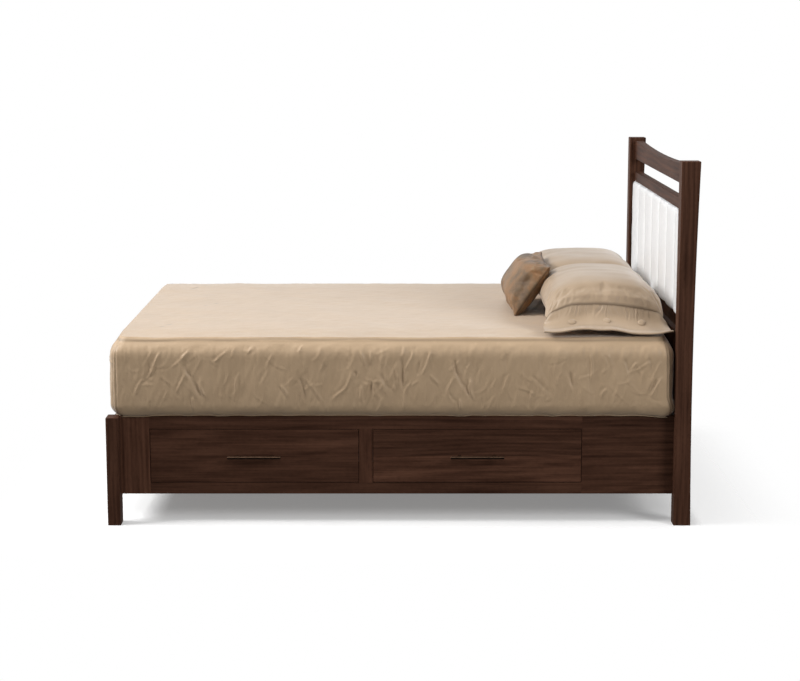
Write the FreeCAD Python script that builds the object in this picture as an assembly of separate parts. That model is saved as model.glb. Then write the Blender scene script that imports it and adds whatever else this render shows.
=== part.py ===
import FreeCAD, Part
import math
import os

# Platform storage bed with a tall open headboard, an upholstered panel and two drawers in each side.
# Millimetres. +X runs from the foot to the headboard, +Y across the bed, +Z up.
# The origin is on the floor, under the middle of the whole bed.

# Mattress, a queen size, which sets the bed's own length and width
mattress_length = 2032.0
mattress_width = 1524.0
mattress_height = 295.0
mattress_head_gap = 5.0           # sheet to the front of the head posts
mattress_end_bulge = 16.0         # how far its two ends swell
mattress_side_bulge = 6.0         # how far its two sides swell
mattress_corner = 50.0            # plan radius of its corners
mattress_top_round = 40.0         # how far its upper edge is drawn in
mattress_foot_round = 15.0        # how far its lower edge is drawn in
sheet_thickness = 2.0

# Side frames and legs
leg_overhang = 33.0               # leg's outer face beyond the mattress width
leg_depth = 66.0                  # across the bed
foot_leg_width = 47.0             # along the bed
frame_height = 405.0              # top of foot legs and rails
frame_bottom = 110.0              # underside of the rails
frame_thickness = 22.0
side_play = 7.0                   # inside length beyond the mattress length
foot_stile_width = 107.5
centre_stile_width = 50.0
head_panel_width = 337.5          # from the second drawer opening to the head post
bottom_rail_width = 42.0
top_rail_width = 51.0

# Headboard
post_height = 1340.0
post_top_width = 69.0             # along the bed, at the top
post_foot_width = 63.0
post_hollow = 8.0                 # how far its back is hollowed at the waist
post_waist_height = 450.0
headboard_setback = 23.0          # post front to the front of the rails
post_rise = 13.0                  # top of the posts over the ends of the crest rail
crest_end_width = 80.0
crest_dip = 17.0                  # how much narrower the crest rail is in its middle
crest_thickness = 36.0
open_slot = 55.0                  # between the crest rail and the mid rail
mid_rail_width = 40.0
panel_rail_bottom = 711.0
panel_rail_width = 51.0
headboard_rail_thickness = 32.0
board_gap = 18.0                  # between the panel rail and the lower board
lower_board_thickness = 22.0

# Upholstered panel
channel_count = 7
end_channel_trim = 16.5           # how much narrower the two end channels are
channel_depth = 8.0               # crown of a channel over its seams
pad_thickness = 22.0              # backing board to the channels' crowns
pad_top_round = 33.0              # height over which the top edge rolls back
pad_bottom_round = 14.0
backing_thickness = 12.0

# Drawers
front_thickness = 20.0
front_gap = 2.0                   # around each drawer front
box_depth = 560.0
box_side_thickness = 12.0
box_top_gap = 20.0                # box below the top rail
box_floor_gap = 10.0              # box above the bottom rail
box_bottom_thickness = 6.0
box_bottom_rise = 12.0            # underside of the bottom panel above the box's lower edge
groove_depth = 6.0

# Drawer slides, three members each
slide_space = 13.0                # partition to drawer side
slide_length = 550.0
slide_height = 45.0
slide_sheet = 1.2
slide_clearance = 0.5
slide_lip = 2.0                   # how far the two outer members stop short of the drawer side

# Pulls
pull_length = 196.0
pull_bar_radius = 5.5
pull_post_spacing = 128.0
pull_post_radius = 4.0
pull_reach = 32.0                 # drawer front to the bar's axis
pull_end_easing = 0.75
pull_screw_radius = 2.0
pull_screw_hole_radius = 2.5
pull_screw_head_radius = 4.5
pull_screw_head_height = 2.5

# Inner structure
partition_thickness = 18.0
ledger_width = 30.0
ledger_height = 30.0
beam_width = 40.0
beam_height = 45.0
slat_count = 14
slat_width = 70.0
slat_thickness = 18.0
slat_end_play = 2.0
slat_end_margin = 60.0            # inside face of the foot rail to the first slat's middle
foot_block_width = 45.0

# Corner plates and bolts
plate_thickness = 4.0
plate_reach = 60.0
plate_height = 160.0
plate_rise = 40.0                 # plate above the underside of the rails
bolt_radius = 3.0
bolt_hole_clearance = 0.25
bolt_depth = 15.0
bolt_head_radius = 6.5
bolt_head_height = 4.0
bolt_edge_distance = 28.0

# Shams, each lying across the bed, and the small cushion that leans on them
sham_side_margin = 67.0           # foot of its flange to the mattress's side
sham_width = 470.0
sham_height = 205.0
sham_head_gap = 24.0              # sham to the front of the head posts
sham_middle_gap = 10.0            # between the two
flange_reach = 60.0
flange_thickness = 5.0
flange_foot_height = 8.0
button_radius = 9.0
button_height = 3.0
button_spacing = 125.0
cushion_length = 480.0            # across the bed
cushion_width = 286.0
cushion_thickness = 160.0
cushion_lean = 55.0               # degrees up from the mattress
cushion_sink = 11.0               # how far its lower edge would reach into the mattress
cushion_inset = 7.0               # its middle from the shams' foot edge
cushion_side_shift = 30.0         # its middle towards the near side
soft_gap = 0.3

# Softened edges
leg_easing = 1.8
rail_easing = 2.0
front_easing = 1.5
overrun = 5.0                     # cutters beyond what they cut
place_tolerance = 1e-4            # when two places count as the same

# Shapes of the soft pieces as shares of their own sizes
mattress_wall_shares = [          # height, swell, draw-in at the foot, draw-in at the top
    (0.00, 0.80, 1.00, 0.00),
    (0.03, 0.90, 0.38, 0.00),
    (0.10, 1.00, 0.00, 0.00),
    (0.45, 1.00, 0.00, 0.00),
    (0.76, 0.90, 0.00, 0.00),
    (0.86, 0.65, 0.00, 0.05),
    (0.93, 0.25, 0.00, 0.18),
    (0.975, 0.00, 0.00, 0.46),
    (1.00, 0.00, 0.00, 1.00),
]
sham_section_shares = [           # place along it, width, underside, seam height, top
    (-1.00, 0.97, 0.43, 0.48, 0.53),
    (-0.92, 0.965, 0.20, 0.47, 0.74),
    (-0.74, 0.96, 0.03, 0.45, 0.90),
    (-0.40, 0.97, 0.00, 0.44, 0.98),
    (0.00, 0.98, 0.00, 0.44, 1.00),
    (0.40, 0.97, 0.00, 0.44, 0.98),
    (0.74, 0.96, 0.03, 0.45, 0.90),
    (0.92, 0.965, 0.20, 0.47, 0.74),
    (1.00, 0.97, 0.43, 0.48, 0.53),
]
sham_flat_share = 0.74            # width of the resting underside
sham_shoulder_share = 0.64        # where the shoulder arcs meet the crown
sham_shoulder_height_share = 0.80
lower_arc_shares = (0.78, 0.30)   # a point that the lower side arc passes through
shoulder_arc_shares = (0.86, 0.47)
cushion_section_shares = [        # place along it, width, thickness
    (-1.00, 1.00, 0.06),
    (-0.90, 0.96, 0.42),
    (-0.60, 0.93, 0.84),
    (0.00, 0.92, 1.00),
    (0.60, 0.93, 0.84),
    (0.90, 0.96, 0.42),
    (1.00, 1.00, 0.06),
]
pad_top_shares = [                # height in the top roll, depth that is left
    (0.00, 1.00),
    (0.45, 0.93),
    (0.80, 0.74),
    (1.00, 0.42),
]
pad_bottom_shares = [
    (0.00, 0.80),
    (1.00, 1.00),
]

# Places that follow from the sizes above
half_width = mattress_width / 2 + leg_overhang
leg_inner = half_width - leg_depth
frame_outer = leg_inner + frame_thickness
inside_length = mattress_length + side_play
bed_length = foot_leg_width + inside_length + post_top_width
foot_end = -bed_length / 2
frame_start = foot_end + foot_leg_width
post_front = frame_start + inside_length
drawer_opening_width = (inside_length - foot_stile_width - centre_stile_width - head_panel_width) / 2
first_opening = frame_start + foot_stile_width
second_opening = first_opening + drawer_opening_width + centre_stile_width
head_panel_start = second_opening + drawer_opening_width
opening_starts = {"foot": first_opening, "head": second_opening}
opening_bottom = frame_bottom + bottom_rail_width
opening_top = frame_height - top_rail_width
drawer_middle_z = (opening_bottom + opening_top) / 2
box_bottom = opening_bottom + box_floor_gap
box_front = frame_outer - front_thickness
box_back = box_front - box_depth
box_height = opening_top - box_top_gap - box_bottom
slide_middle_z = box_bottom + box_height / 2
rail_front = post_front + headboard_setback
crest_top = post_height - post_rise
crest_bottom = crest_top - crest_end_width
mid_rail_top = crest_bottom - open_slot
mid_rail_bottom = mid_rail_top - mid_rail_width
panel_rail_top = panel_rail_bottom + panel_rail_width
channel_pitch = 2 * (leg_inner + end_channel_trim) / channel_count
backing_front = rail_front + frame_thickness - backing_thickness
mattress_middle = post_front - mattress_head_gap - sheet_thickness - mattress_end_bulge - mattress_length / 2
sheet_top = frame_height + mattress_height + sheet_thickness
slat_bottom = frame_height - slat_thickness
plate_bottom = frame_bottom + plate_rise
sham_length = mattress_width / 2 - sham_side_margin - flange_reach - sham_middle_gap / 2
sham_middle = post_front - sham_head_gap - sham_width / 2
sham_side = sham_middle_gap / 2 + sham_length / 2
sides = {"near": -1, "far": 1}


def point(x, y, z):
    return FreeCAD.Vector(x, y, z)


def block(x_pair, y_pair, z_pair):
    x_low, x_high = sorted(x_pair)
    y_low, y_high = sorted(y_pair)
    z_low, z_high = sorted(z_pair)
    return Part.makeBox(x_high - x_low, y_high - y_low, z_high - z_low, point(x_low, y_low, z_low))


def line(start, end):
    return Part.LineSegment(start, end).toShape()


def arc(start, middle, end):
    return Part.Arc(start, middle, end).toShape()


def direction_of(edge):
    first, last = edge.Vertexes[0].Point, edge.Vertexes[-1].Point
    return (last - first).normalize()


def long_edges(shape, axis):
    """The straight edges that run along one axis."""
    return [edge for edge in shape.Edges if abs(direction_of(edge).dot(axis)) > 1 - place_tolerance]


def edges_on(shape, axis, value):
    """The edges that lie in the plane where one coordinate has a value."""
    found = []
    for edge in shape.Edges:
        ends = [vertex.Point.dot(axis) - value for vertex in edge.Vertexes]
        if all(abs(end) < place_tolerance for end in ends):
            found.append(edge)
    return found


along_x = point(1, 0, 0)
along_y = point(0, 1, 0)
along_z = point(0, 0, 1)


def eased_rail(x_pair, y_pair, z_pair, axis):
    rail = block(x_pair, y_pair, z_pair)
    return rail.makeFillet(rail_easing, long_edges(rail, axis))


def loft(wires):
    return Part.makeLoft(wires, True, False)


def save(name, *solids):
    shape = solids[0] if len(solids) == 1 else Part.makeCompound(list(solids))
    shape.exportStep(os.path.join("parts", name + ".step"))
    print(name, len(shape.Solids), round(sum(solid.Volume for solid in shape.Solids)))


def head_post(side):
    """Straight in front, with a gently hollowed back."""
    y = side * leg_inner
    front_foot, front_top = point(post_front, y, 0), point(post_front, y, post_height)
    back_top = point(post_front + post_top_width, y, post_height)
    taper = (post_top_width - post_foot_width) * post_waist_height / post_height
    back_waist = point(post_front + post_foot_width + taper - post_hollow, y, post_waist_height)
    back_foot = point(post_front + post_foot_width, y, 0)
    outline = Part.Wire([line(front_foot, front_top), line(front_top, back_top),
                         arc(back_top, back_waist, back_foot), line(back_foot, front_foot)])
    post = Part.Face(outline).extrude(point(0, side * leg_depth, 0))
    return drilled(softened(post, post_height), side, plate_bolts(side, "head"))


def softened(upright, height):
    """Chamfers the long edges of a post or leg, straight or hollow, and the rim of its top."""
    rims = [edge for edge in upright.Edges if edge.Length > height - leg_easing]
    return upright.makeChamfer(leg_easing, rims + edges_on(upright, along_z, height))


def foot_leg(side):
    leg = block((foot_end, frame_start), (side * leg_inner, side * half_width), (0, frame_height))
    return softened(leg, frame_height)


def crest_rail():
    """Its upper edge is hollow, lowest in the middle."""
    low_left = point(rail_front, -leg_inner, crest_bottom)
    low_right = point(rail_front, leg_inner, crest_bottom)
    high_left = point(rail_front, -leg_inner, crest_top)
    high_right = point(rail_front, leg_inner, crest_top)
    dip = point(rail_front, 0, crest_top - crest_dip)
    outline = Part.Wire([line(low_left, low_right), line(low_right, high_right),
                         arc(high_right, dip, high_left), line(high_left, low_left)])
    rail = Part.Face(outline).extrude(point(crest_thickness, 0, 0))
    return rail.makeChamfer(rail_easing, [edge for edge in rail.Edges if edge.Length > leg_inner])


def headboard():
    for name, side in sides.items():
        save("headboard_post_" + name, head_post(side))
    across = (-leg_inner, leg_inner)
    rail_depth = (rail_front, rail_front + headboard_rail_thickness)
    save("headboard_crest_rail", crest_rail())
    save("headboard_mid_rail", eased_rail(rail_depth, across, (mid_rail_bottom, mid_rail_top), along_y))
    save("headboard_panel_rail", eased_rail(rail_depth, across, (panel_rail_bottom, panel_rail_top), along_y))
    backing_depth = (backing_front, backing_front + backing_thickness)
    save("headboard_panel_board", block(backing_depth, across, (panel_rail_top, mid_rail_bottom)))
    save("headboard_upholstery", upholstery())
    board_depth = (rail_front, rail_front + lower_board_thickness)
    save("headboard_lower_board", eased_rail(board_depth, across, (frame_bottom, panel_rail_bottom - board_gap), along_y))


def pad_section(z, depth_share):
    """Plan of the padded panel: a straight back and one arc for each channel."""
    seams = [(step - channel_count / 2) * channel_pitch for step in range(channel_count + 1)]
    seams[0], seams[-1] = -leg_inner, leg_inner
    seam_x = backing_front - (pad_thickness - channel_depth) * depth_share
    crown_x = backing_front - pad_thickness * depth_share
    edges = []
    for left, right in zip(seams, seams[1:]):
        edges.append(arc(point(seam_x, left, z), point(crown_x, (left + right) / 2, z),
                         point(seam_x, right, z)))
    back_left, back_right = point(backing_front, -leg_inner, z), point(backing_front, leg_inner, z)
    edges.append(line(point(seam_x, leg_inner, z), back_right))
    edges.append(line(back_right, back_left))
    edges.append(line(back_left, point(seam_x, -leg_inner, z)))
    return Part.Wire(edges)


def upholstery():
    roll_start = mid_rail_bottom - pad_top_round
    wires = [pad_section(panel_rail_top + height * pad_bottom_round, depth)
             for height, depth in pad_bottom_shares]
    wires += [pad_section(roll_start + height * pad_top_round, depth) for height, depth in pad_top_shares]
    return Part.makeLoft(wires, True, True)


def side_frame(name, side):
    thickness = (side * leg_inner, side * frame_outer)
    run = (first_opening, head_panel_start)
    opening_z = (opening_bottom, opening_top)
    save(name + "_top_rail", eased_top(block(run, thickness, (opening_top, frame_height)), side))
    save(name + "_bottom_rail", block(run, thickness, (frame_bottom, opening_bottom)))
    full_height = (frame_bottom, frame_height)
    stile = block((frame_start, first_opening), thickness, full_height)
    save(name + "_foot_stile", drilled(eased_top(stile, side), side, plate_bolts(side, "foot")))
    centre = (first_opening + drawer_opening_width, second_opening)
    save(name + "_centre_stile", block(centre, thickness, opening_z))
    panel = block((head_panel_start, post_front), thickness, full_height)
    save(name + "_head_panel", drilled(eased_top(panel, side), side, plate_bolts(side, "head")))


def eased_top(piece, side):
    """Softens the upper outer edge."""
    top = edges_on(piece, along_z, frame_height)
    outer = [edge for edge in top
             if all(abs(vertex.Point.y - side * frame_outer) < place_tolerance for vertex in edge.Vertexes)]
    return piece.makeFillet(rail_easing, outer)


def foot_end_frame():
    for name, side in sides.items():
        save("foot_leg_" + name, foot_leg(side))
    depth = (frame_start - frame_thickness, frame_start)
    rail = eased_rail(depth, (-leg_inner, leg_inner), (frame_bottom, frame_height), along_y)
    for side in sides.values():
        for z in bolt_heights():
            rail = rail.cut(bolt_hole(point(frame_start, side * footboard_bolt_y(), z), -along_x))
    save("footboard_rail", rail)


def bolt_heights():
    return (plate_bottom + bolt_edge_distance, plate_bottom + plate_height - bolt_edge_distance)


def footboard_bolt_y():
    return leg_inner - plate_reach / 2 - plate_thickness / 2


def plate_bolts(side, end):
    """Where bolts go through a plate into the side frame or a post, on the inner faces."""
    if end == "foot":
        places = [frame_start + plate_thickness / 2 + plate_reach / 2]
    else:
        places = [post_front - plate_reach / 2, (post_front + rail_front) / 2]
    return [point(x, side * leg_inner, z) for x in places for z in bolt_heights()]


def bolt_hole(start, way):
    return Part.makeCylinder(bolt_radius + bolt_hole_clearance, bolt_depth + bolt_hole_clearance, start, way)


def drilled(piece, side, places):
    box = piece.BoundBox
    for place in places:
        if box.XMin < place.x < box.XMax:
            piece = piece.cut(bolt_hole(place, point(0, side, 0)))
    return piece


def bolt(place, way):
    """A round-headed bolt whose head bears on a plate that lies on the face at the place."""
    outer = place - way * plate_thickness
    shank = Part.makeCylinder(bolt_radius, bolt_depth + plate_thickness, outer, way)
    head = Part.makeCylinder(bolt_head_radius, bolt_head_height, outer - way * bolt_head_height, way)
    return shank.fuse(head).removeSplitter()


def corner_hardware():
    solids = []
    heights = (plate_bottom, plate_bottom + plate_height)
    for side in sides.values():
        inner = (side * (leg_inner - plate_thickness), side * leg_inner)
        angle = block((frame_start, frame_start + plate_reach), inner, heights)
        flange_y = (side * (leg_inner - plate_reach), side * leg_inner)
        angle = angle.fuse(block((frame_start, frame_start + plate_thickness), flange_y, heights))
        angle = angle.removeSplitter()
        flat = block((post_front - plate_reach, rail_front), inner, heights)
        across = point(0, side, 0)
        for plate, places in ((angle, plate_bolts(side, "foot")), (flat, plate_bolts(side, "head"))):
            for place in places:
                plate = plate.cut(bolt_hole(place - across * plate_thickness, across))
                solids.append(bolt(place, across))
            if plate.BoundBox.XMax < 0:
                for z in bolt_heights():
                    place = point(frame_start, side * footboard_bolt_y(), z)
                    plate = plate.cut(bolt_hole(place + along_x * plate_thickness, -along_x))
                    solids.append(bolt(place, -along_x))
            solids.append(plate)
    save("corner_hardware", *solids)


def partition_places():
    """X ranges of the three upright boards that the drawers run between."""
    centre = (first_opening + drawer_opening_width, second_opening)
    return [(first_opening - partition_thickness, first_opening), centre,
            (head_panel_start, head_panel_start + partition_thickness)]


def ledger_block(side):
    run = (frame_start + plate_reach, post_front - plate_reach)
    y = (side * (leg_inner - ledger_width), side * leg_inner)
    return block(run, y, (slat_bottom - ledger_height, slat_bottom))


def beam_block():
    half = beam_width / 2
    return block((frame_start, rail_front), (-half, half), (slat_bottom - beam_height, slat_bottom))


def inner_structure():
    supports = [beam_block(), ledger_block(-1), ledger_block(1)]
    partitions = []
    feet = []
    half_foot = foot_block_width / 2
    for x_pair in partition_places():
        board = block(x_pair, (-leg_inner, leg_inner), (frame_bottom, slat_bottom))
        for support in supports:
            board = board.cut(support)
        partitions.append(board)
        middle = sum(x_pair) / 2
        foot = block((middle - half_foot, middle + half_foot), (-half_foot, half_foot), (0, frame_bottom))
        feet.append(foot.makeFillet(leg_easing, long_edges(foot, along_z)))
    save("drawer_partitions", *partitions)
    save("slat_supports", *supports)
    save("support_feet", *feet)
    save("slats", *slats())


def slats():
    first = frame_start + slat_end_margin
    last = post_front - slat_end_margin
    half_length = leg_inner - slat_end_play
    boards = []
    for step in range(slat_count):
        middle = first + (last - first) * step / (slat_count - 1)
        x_pair = (middle - slat_width / 2, middle + slat_width / 2)
        boards.append(eased_rail(x_pair, (-half_length, half_length), (slat_bottom, frame_height), along_y))
    return boards


def channel(wall, way, reach, height, y_pair):
    """A sheet-metal channel with its web at one X and its two flanges reaching from it."""
    z_pair = (slide_middle_z - height / 2, slide_middle_z + height / 2)
    body = block((wall, wall + way * reach), y_pair, z_pair)
    inner_z = (z_pair[0] + slide_sheet, z_pair[1] - slide_sheet)
    return body.cut(block((wall + way * slide_sheet, wall + way * (reach + overrun)), y_pair, inner_z))


def slide_members(side, place):
    """The outer, middle and inner members on both sides of one drawer."""
    start = opening_starts[place]
    y_pair = (side * leg_inner, side * (leg_inner - slide_length))
    step = 2 * (slide_sheet + slide_clearance)
    inset = slide_sheet + slide_clearance
    outer, middle, inner = [], [], []
    for wall, way in ((start, 1), (start + drawer_opening_width, -1)):
        outer.append(channel(wall, way, slide_space - slide_lip, slide_height, y_pair))
        middle_reach = slide_space - slide_lip - inset
        middle.append(channel(wall + way * inset, way, middle_reach, slide_height - step, y_pair))
        inner_reach = slide_space - 2 * inset
        inner.append(channel(wall + way * slide_space, -way, inner_reach, slide_height - 2 * step, y_pair))
    return outer, middle, inner


def pull(side, x_middle):
    """A round bar on two posts, with a screw behind each post."""
    outward = point(0, side, 0)
    bar_y = side * (frame_outer + pull_reach)
    bar_start = point(x_middle - pull_length / 2, bar_y, drawer_middle_z)
    bar = Part.makeCylinder(pull_bar_radius, pull_length, bar_start, along_x)
    ends = [edge for edge in bar.Edges if edge.Curve.TypeId == "Part::GeomCircle"]
    bar = bar.makeFillet(pull_end_easing, ends)
    solids = [bar]
    for x in pull_post_places(x_middle):
        foot = point(x, side * frame_outer, drawer_middle_z)
        solids.append(Part.makeCylinder(pull_post_radius, pull_reach, foot, outward).cut(bar))
        inside = foot - outward * front_thickness
        head_start = inside - outward * pull_screw_head_height
        head = Part.makeCylinder(pull_screw_head_radius, pull_screw_head_height, head_start, outward)
        shank = Part.makeCylinder(pull_screw_radius, front_thickness, inside, outward)
        solids.append(head.fuse(shank).removeSplitter())
    return solids


def pull_post_places(x_middle):
    return (x_middle - pull_post_spacing / 2, x_middle + pull_post_spacing / 2)


def drawer(side_name, side, place):
    name = side_name + "_" + place
    start = opening_starts[place]
    end = start + drawer_opening_width
    x_middle = (start + end) / 2
    z_low = box_bottom
    z_high = box_bottom + box_height
    left, right = start + slide_space, end - slide_space
    inner_left, inner_right = left + box_side_thickness, right - box_side_thickness
    front_inner = side * box_front
    back_outer, back_inner = side * box_back, side * (box_back + box_side_thickness)
    bottom_z = (z_low + box_bottom_rise, z_low + box_bottom_rise + box_bottom_thickness)
    bottom_y = (side * (box_back + box_side_thickness - groove_depth), side * (box_front + groove_depth))
    bottom = block((inner_left - groove_depth, inner_right + groove_depth), bottom_y, bottom_z)

    front = block((start + front_gap, end - front_gap), (front_inner, side * frame_outer),
                  (opening_bottom + front_gap, opening_top - front_gap))
    front = front.makeFillet(front_easing, edges_on(front, along_y, side * frame_outer))
    for x in pull_post_places(x_middle):
        place_in = point(x, front_inner, drawer_middle_z)
        hole = Part.makeCylinder(pull_screw_hole_radius, front_thickness, place_in, point(0, side, 0))
        front = front.cut(hole)
    walls = [block((left, inner_left), (back_outer, front_inner), (z_low, z_high)),
             block((inner_right, right), (back_outer, front_inner), (z_low, z_high))]
    back = block((inner_left, inner_right), (back_outer, back_inner), (z_low, z_high))

    save(name + "_drawer_front", front.cut(bottom))
    save(name + "_drawer_sides", *[wall.cut(bottom) for wall in walls])
    save(name + "_drawer_back", back.cut(bottom))
    save(name + "_drawer_bottom", bottom)
    save(name + "_drawer_pull", *pull(side, x_middle))


def drawers():
    outer_members = []
    for side_name, side in sides.items():
        for place in opening_starts:
            drawer(side_name, side, place)
            outer, middle, inner = slide_members(side, place)
            outer_members += outer
            save(side_name + "_" + place + "_slide_middle_members", *middle)
            save(side_name + "_" + place + "_slide_inner_members", *inner)
    save("slide_outer_members", *outer_members)


def rounded_plan(half_x, half_y, radius, x_middle, z):
    """A rectangle with four round corners, as eight edges."""
    edges = []
    diagonal = radius * (1 - 0.5 ** 0.5)
    corners = [(1, -1), (1, 1), (-1, 1), (-1, -1)]
    stops = []
    for sx, sy in corners:
        along = point(x_middle + sx * (half_x - radius), sy * half_y, z)
        middle = point(x_middle + sx * (half_x - diagonal), sy * (half_y - diagonal), z)
        across = point(x_middle + sx * half_x, sy * (half_y - radius), z)
        stops.append((along, middle, across) if sx * sy < 0 else (across, middle, along))
    for index, stop in enumerate(stops):
        edges.append(arc(*stop))
        edges.append(line(stop[2], stops[(index + 1) % len(stops)][0]))
    return Part.Wire(edges)


def mattress_form(cover):
    """The mattress, or the outside of the sheet when a cover thickness is given."""
    wires = []
    for height, swell, foot_draw, top_draw in mattress_wall_shares:
        grow = cover - mattress_foot_round * foot_draw - mattress_top_round * top_draw
        half_length = mattress_length / 2 + grow + mattress_end_bulge * swell
        half_across = mattress_width / 2 + grow + mattress_side_bulge * swell
        z = frame_height + (mattress_height + cover) * height
        wires.append(rounded_plan(half_length, half_across, mattress_corner + grow / 2, mattress_middle, z))
    return loft(wires)


def sham_section(y, half, low, seam, high):
    flat = half * sham_flat_share
    shoulder = half * sham_shoulder_share
    shoulder_z = seam + (high - seam) * sham_shoulder_height_share
    edges = []
    lower_x = flat + (half - flat) * lower_arc_shares[0]
    lower_z = low + (seam - low) * lower_arc_shares[1]
    upper_x = half * shoulder_arc_shares[0]
    upper_z = seam + (high - seam) * shoulder_arc_shares[1]
    edges.append(line(point(-flat, y, low), point(flat, y, low)))
    edges.append(arc(point(flat, y, low), point(lower_x, y, lower_z), point(half, y, seam)))
    edges.append(arc(point(half, y, seam), point(upper_x, y, upper_z), point(shoulder, y, shoulder_z)))
    edges.append(arc(point(shoulder, y, shoulder_z), point(0, y, high), point(-shoulder, y, shoulder_z)))
    edges.append(arc(point(-shoulder, y, shoulder_z), point(-upper_x, y, upper_z), point(-half, y, seam)))
    edges.append(arc(point(-half, y, seam), point(-lower_x, y, lower_z), point(-flat, y, low)))
    return Part.Wire(edges)


def sham_body(side, grow):
    """A plump pillow in its sham, flat where it lies on the sheet."""
    wires = []
    for place, width, low, seam, high in sham_section_shares:
        wires.append(sham_section(place * (sham_length / 2 + grow), (sham_width / 2) * width + grow,
                                  sham_height * low - grow, sham_height * seam, sham_height * high + grow))
    body = loft(wires)
    body.translate(point(sham_middle, side * sham_side, sheet_top))
    box = body.BoundBox
    above = block((box.XMin - overrun, box.XMax + overrun), (box.YMin - overrun, box.YMax + overrun),
                  (sheet_top, box.ZMax + overrun))
    return body.common(above).Solids[0]


def sham(side):
    """The body, its buttoned flange at the bed's edge and three buttons on it."""
    seam_z = sheet_top + sham_height * sham_section_shares[0][3]
    seam_y = side * (sham_side + sham_length / 2)
    foot_y = seam_y + side * flange_reach
    foot_z = sheet_top + flange_foot_height
    half = sham_width / 2 * sham_section_shares[0][1]
    x_start = sham_middle - half
    lift = flange_thickness / 2
    bow_y = (seam_y + foot_y) / 2 + side * flange_thickness
    bow_z = (seam_z + foot_z) / 2 + flange_thickness

    def strip_point(y, z, sign):
        return point(x_start, y + side * sign * lift * at_foot(y), z + sign * lift * (1 - at_foot(y)))

    def at_foot(y):
        return (y - seam_y) / (foot_y - seam_y)

    outer = [strip_point(y, z, 1) for y, z in ((seam_y, seam_z), (bow_y, bow_z), (foot_y, foot_z))]
    inner = [strip_point(y, z, -1) for y, z in ((seam_y, seam_z), (bow_y, bow_z), (foot_y, foot_z))]
    outline = Part.Wire([arc(*outer), line(outer[2], inner[2]), arc(inner[2], inner[1], inner[0]),
                         line(inner[0], outer[0])])
    flange = Part.Face(outline).extrude(along_x * (2 * half))
    outward = (outer[1] - inner[1]).normalize()
    buttons = []
    for step in (-1, 0, 1):
        shift = along_x * (half + step * button_spacing)
        disc = Part.makeCylinder(button_radius, button_height + lift, inner[1] + shift, outward)
        buttons.append(disc.cut(flange).Solids[0])
    return [sham_body(side, 0), flange] + buttons


def cushion_section(y, half, thick):
    left, right = point(-half, y, 0), point(half, y, 0)
    return Part.Wire([arc(left, point(0, y, thick), right), arc(right, point(0, y, -thick), left)])


def accent_cushion():
    """A small knife-edged cushion that leans back on the shams."""
    wires = [cushion_section(place * cushion_length / 2, cushion_width / 2 * width, cushion_thickness / 2 * thick)
             for place, width, thick in cushion_section_shares]
    body = loft(wires)
    body.rotate(point(0, 0, 0), along_y, -cushion_lean)
    middle_rise = cushion_width / 2 * math.sin(math.radians(cushion_lean)) - cushion_sink
    middle_x = sham_middle - sham_width / 2 + cushion_inset
    body.translate(point(middle_x, -cushion_side_shift, sheet_top + middle_rise))
    box = body.BoundBox
    below = block((box.XMin - overrun, box.XMax + overrun), (box.YMin - overrun, box.YMax + overrun),
                  (box.ZMin - overrun, sheet_top))
    body = body.cut(below)
    for side in sides.values():
        body = body.cut(sham_body(side, soft_gap))
    return max(body.Solids, key=lambda solid: solid.Volume)


def bedding():
    inside = mattress_form(0)
    save("mattress", inside)
    save("fitted_sheet", mattress_form(sheet_thickness).cut(inside))
    for name, side in sides.items():
        save("sham_" + name, *sham(side))
    save("accent_cushion", accent_cushion())


def main():
    os.makedirs("parts", exist_ok=True)
    headboard()
    foot_end_frame()
    for name, side in sides.items():
        side_frame(name, side)
    corner_hardware()
    inner_structure()
    drawers()
    bedding()


main()
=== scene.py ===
import math
import random

import bpy
import numpy as np
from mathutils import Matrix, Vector


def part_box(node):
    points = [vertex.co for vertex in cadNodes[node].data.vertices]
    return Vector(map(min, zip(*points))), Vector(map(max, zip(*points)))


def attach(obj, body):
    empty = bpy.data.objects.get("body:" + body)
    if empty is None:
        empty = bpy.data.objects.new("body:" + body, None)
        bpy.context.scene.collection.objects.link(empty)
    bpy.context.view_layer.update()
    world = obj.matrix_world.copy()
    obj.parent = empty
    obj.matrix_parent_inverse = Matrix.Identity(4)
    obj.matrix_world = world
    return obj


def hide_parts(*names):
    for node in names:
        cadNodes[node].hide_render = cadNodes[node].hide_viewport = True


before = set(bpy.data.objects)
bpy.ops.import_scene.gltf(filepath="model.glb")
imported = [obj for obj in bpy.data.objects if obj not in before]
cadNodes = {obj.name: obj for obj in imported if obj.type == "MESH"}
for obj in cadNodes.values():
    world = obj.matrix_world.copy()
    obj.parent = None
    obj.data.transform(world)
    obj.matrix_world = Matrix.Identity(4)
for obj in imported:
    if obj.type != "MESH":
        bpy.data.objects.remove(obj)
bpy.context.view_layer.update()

scene = bpy.context.scene
mm = 0.001
signs = {"near": -1, "far": 1}
print("frame loaded with", len(cadNodes), "nodes")


class Form(dict):  # a dictionary whose values can also be read as form.name
    __getattr__ = dict.__getitem__


# Helpers for materials: a value that is a socket is linked, any other is set
def newMaterial(name):
    material = bpy.data.materials.new(name)
    material.use_nodes = True
    nodes = material.node_tree.nodes
    return material, nodes["Principled BSDF"], nodes.new("ShaderNodeTexCoord").outputs["Object"]


def feed(slot, value):
    if isinstance(value, bpy.types.NodeSocket):
        slot.id_data.links.new(value, slot)
    else:
        slot.default_value = (*value, 1) if slot.type == "RGBA" else value


def fresh(socket, kind):
    return socket.id_data.nodes.new("ShaderNode" + kind)


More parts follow.
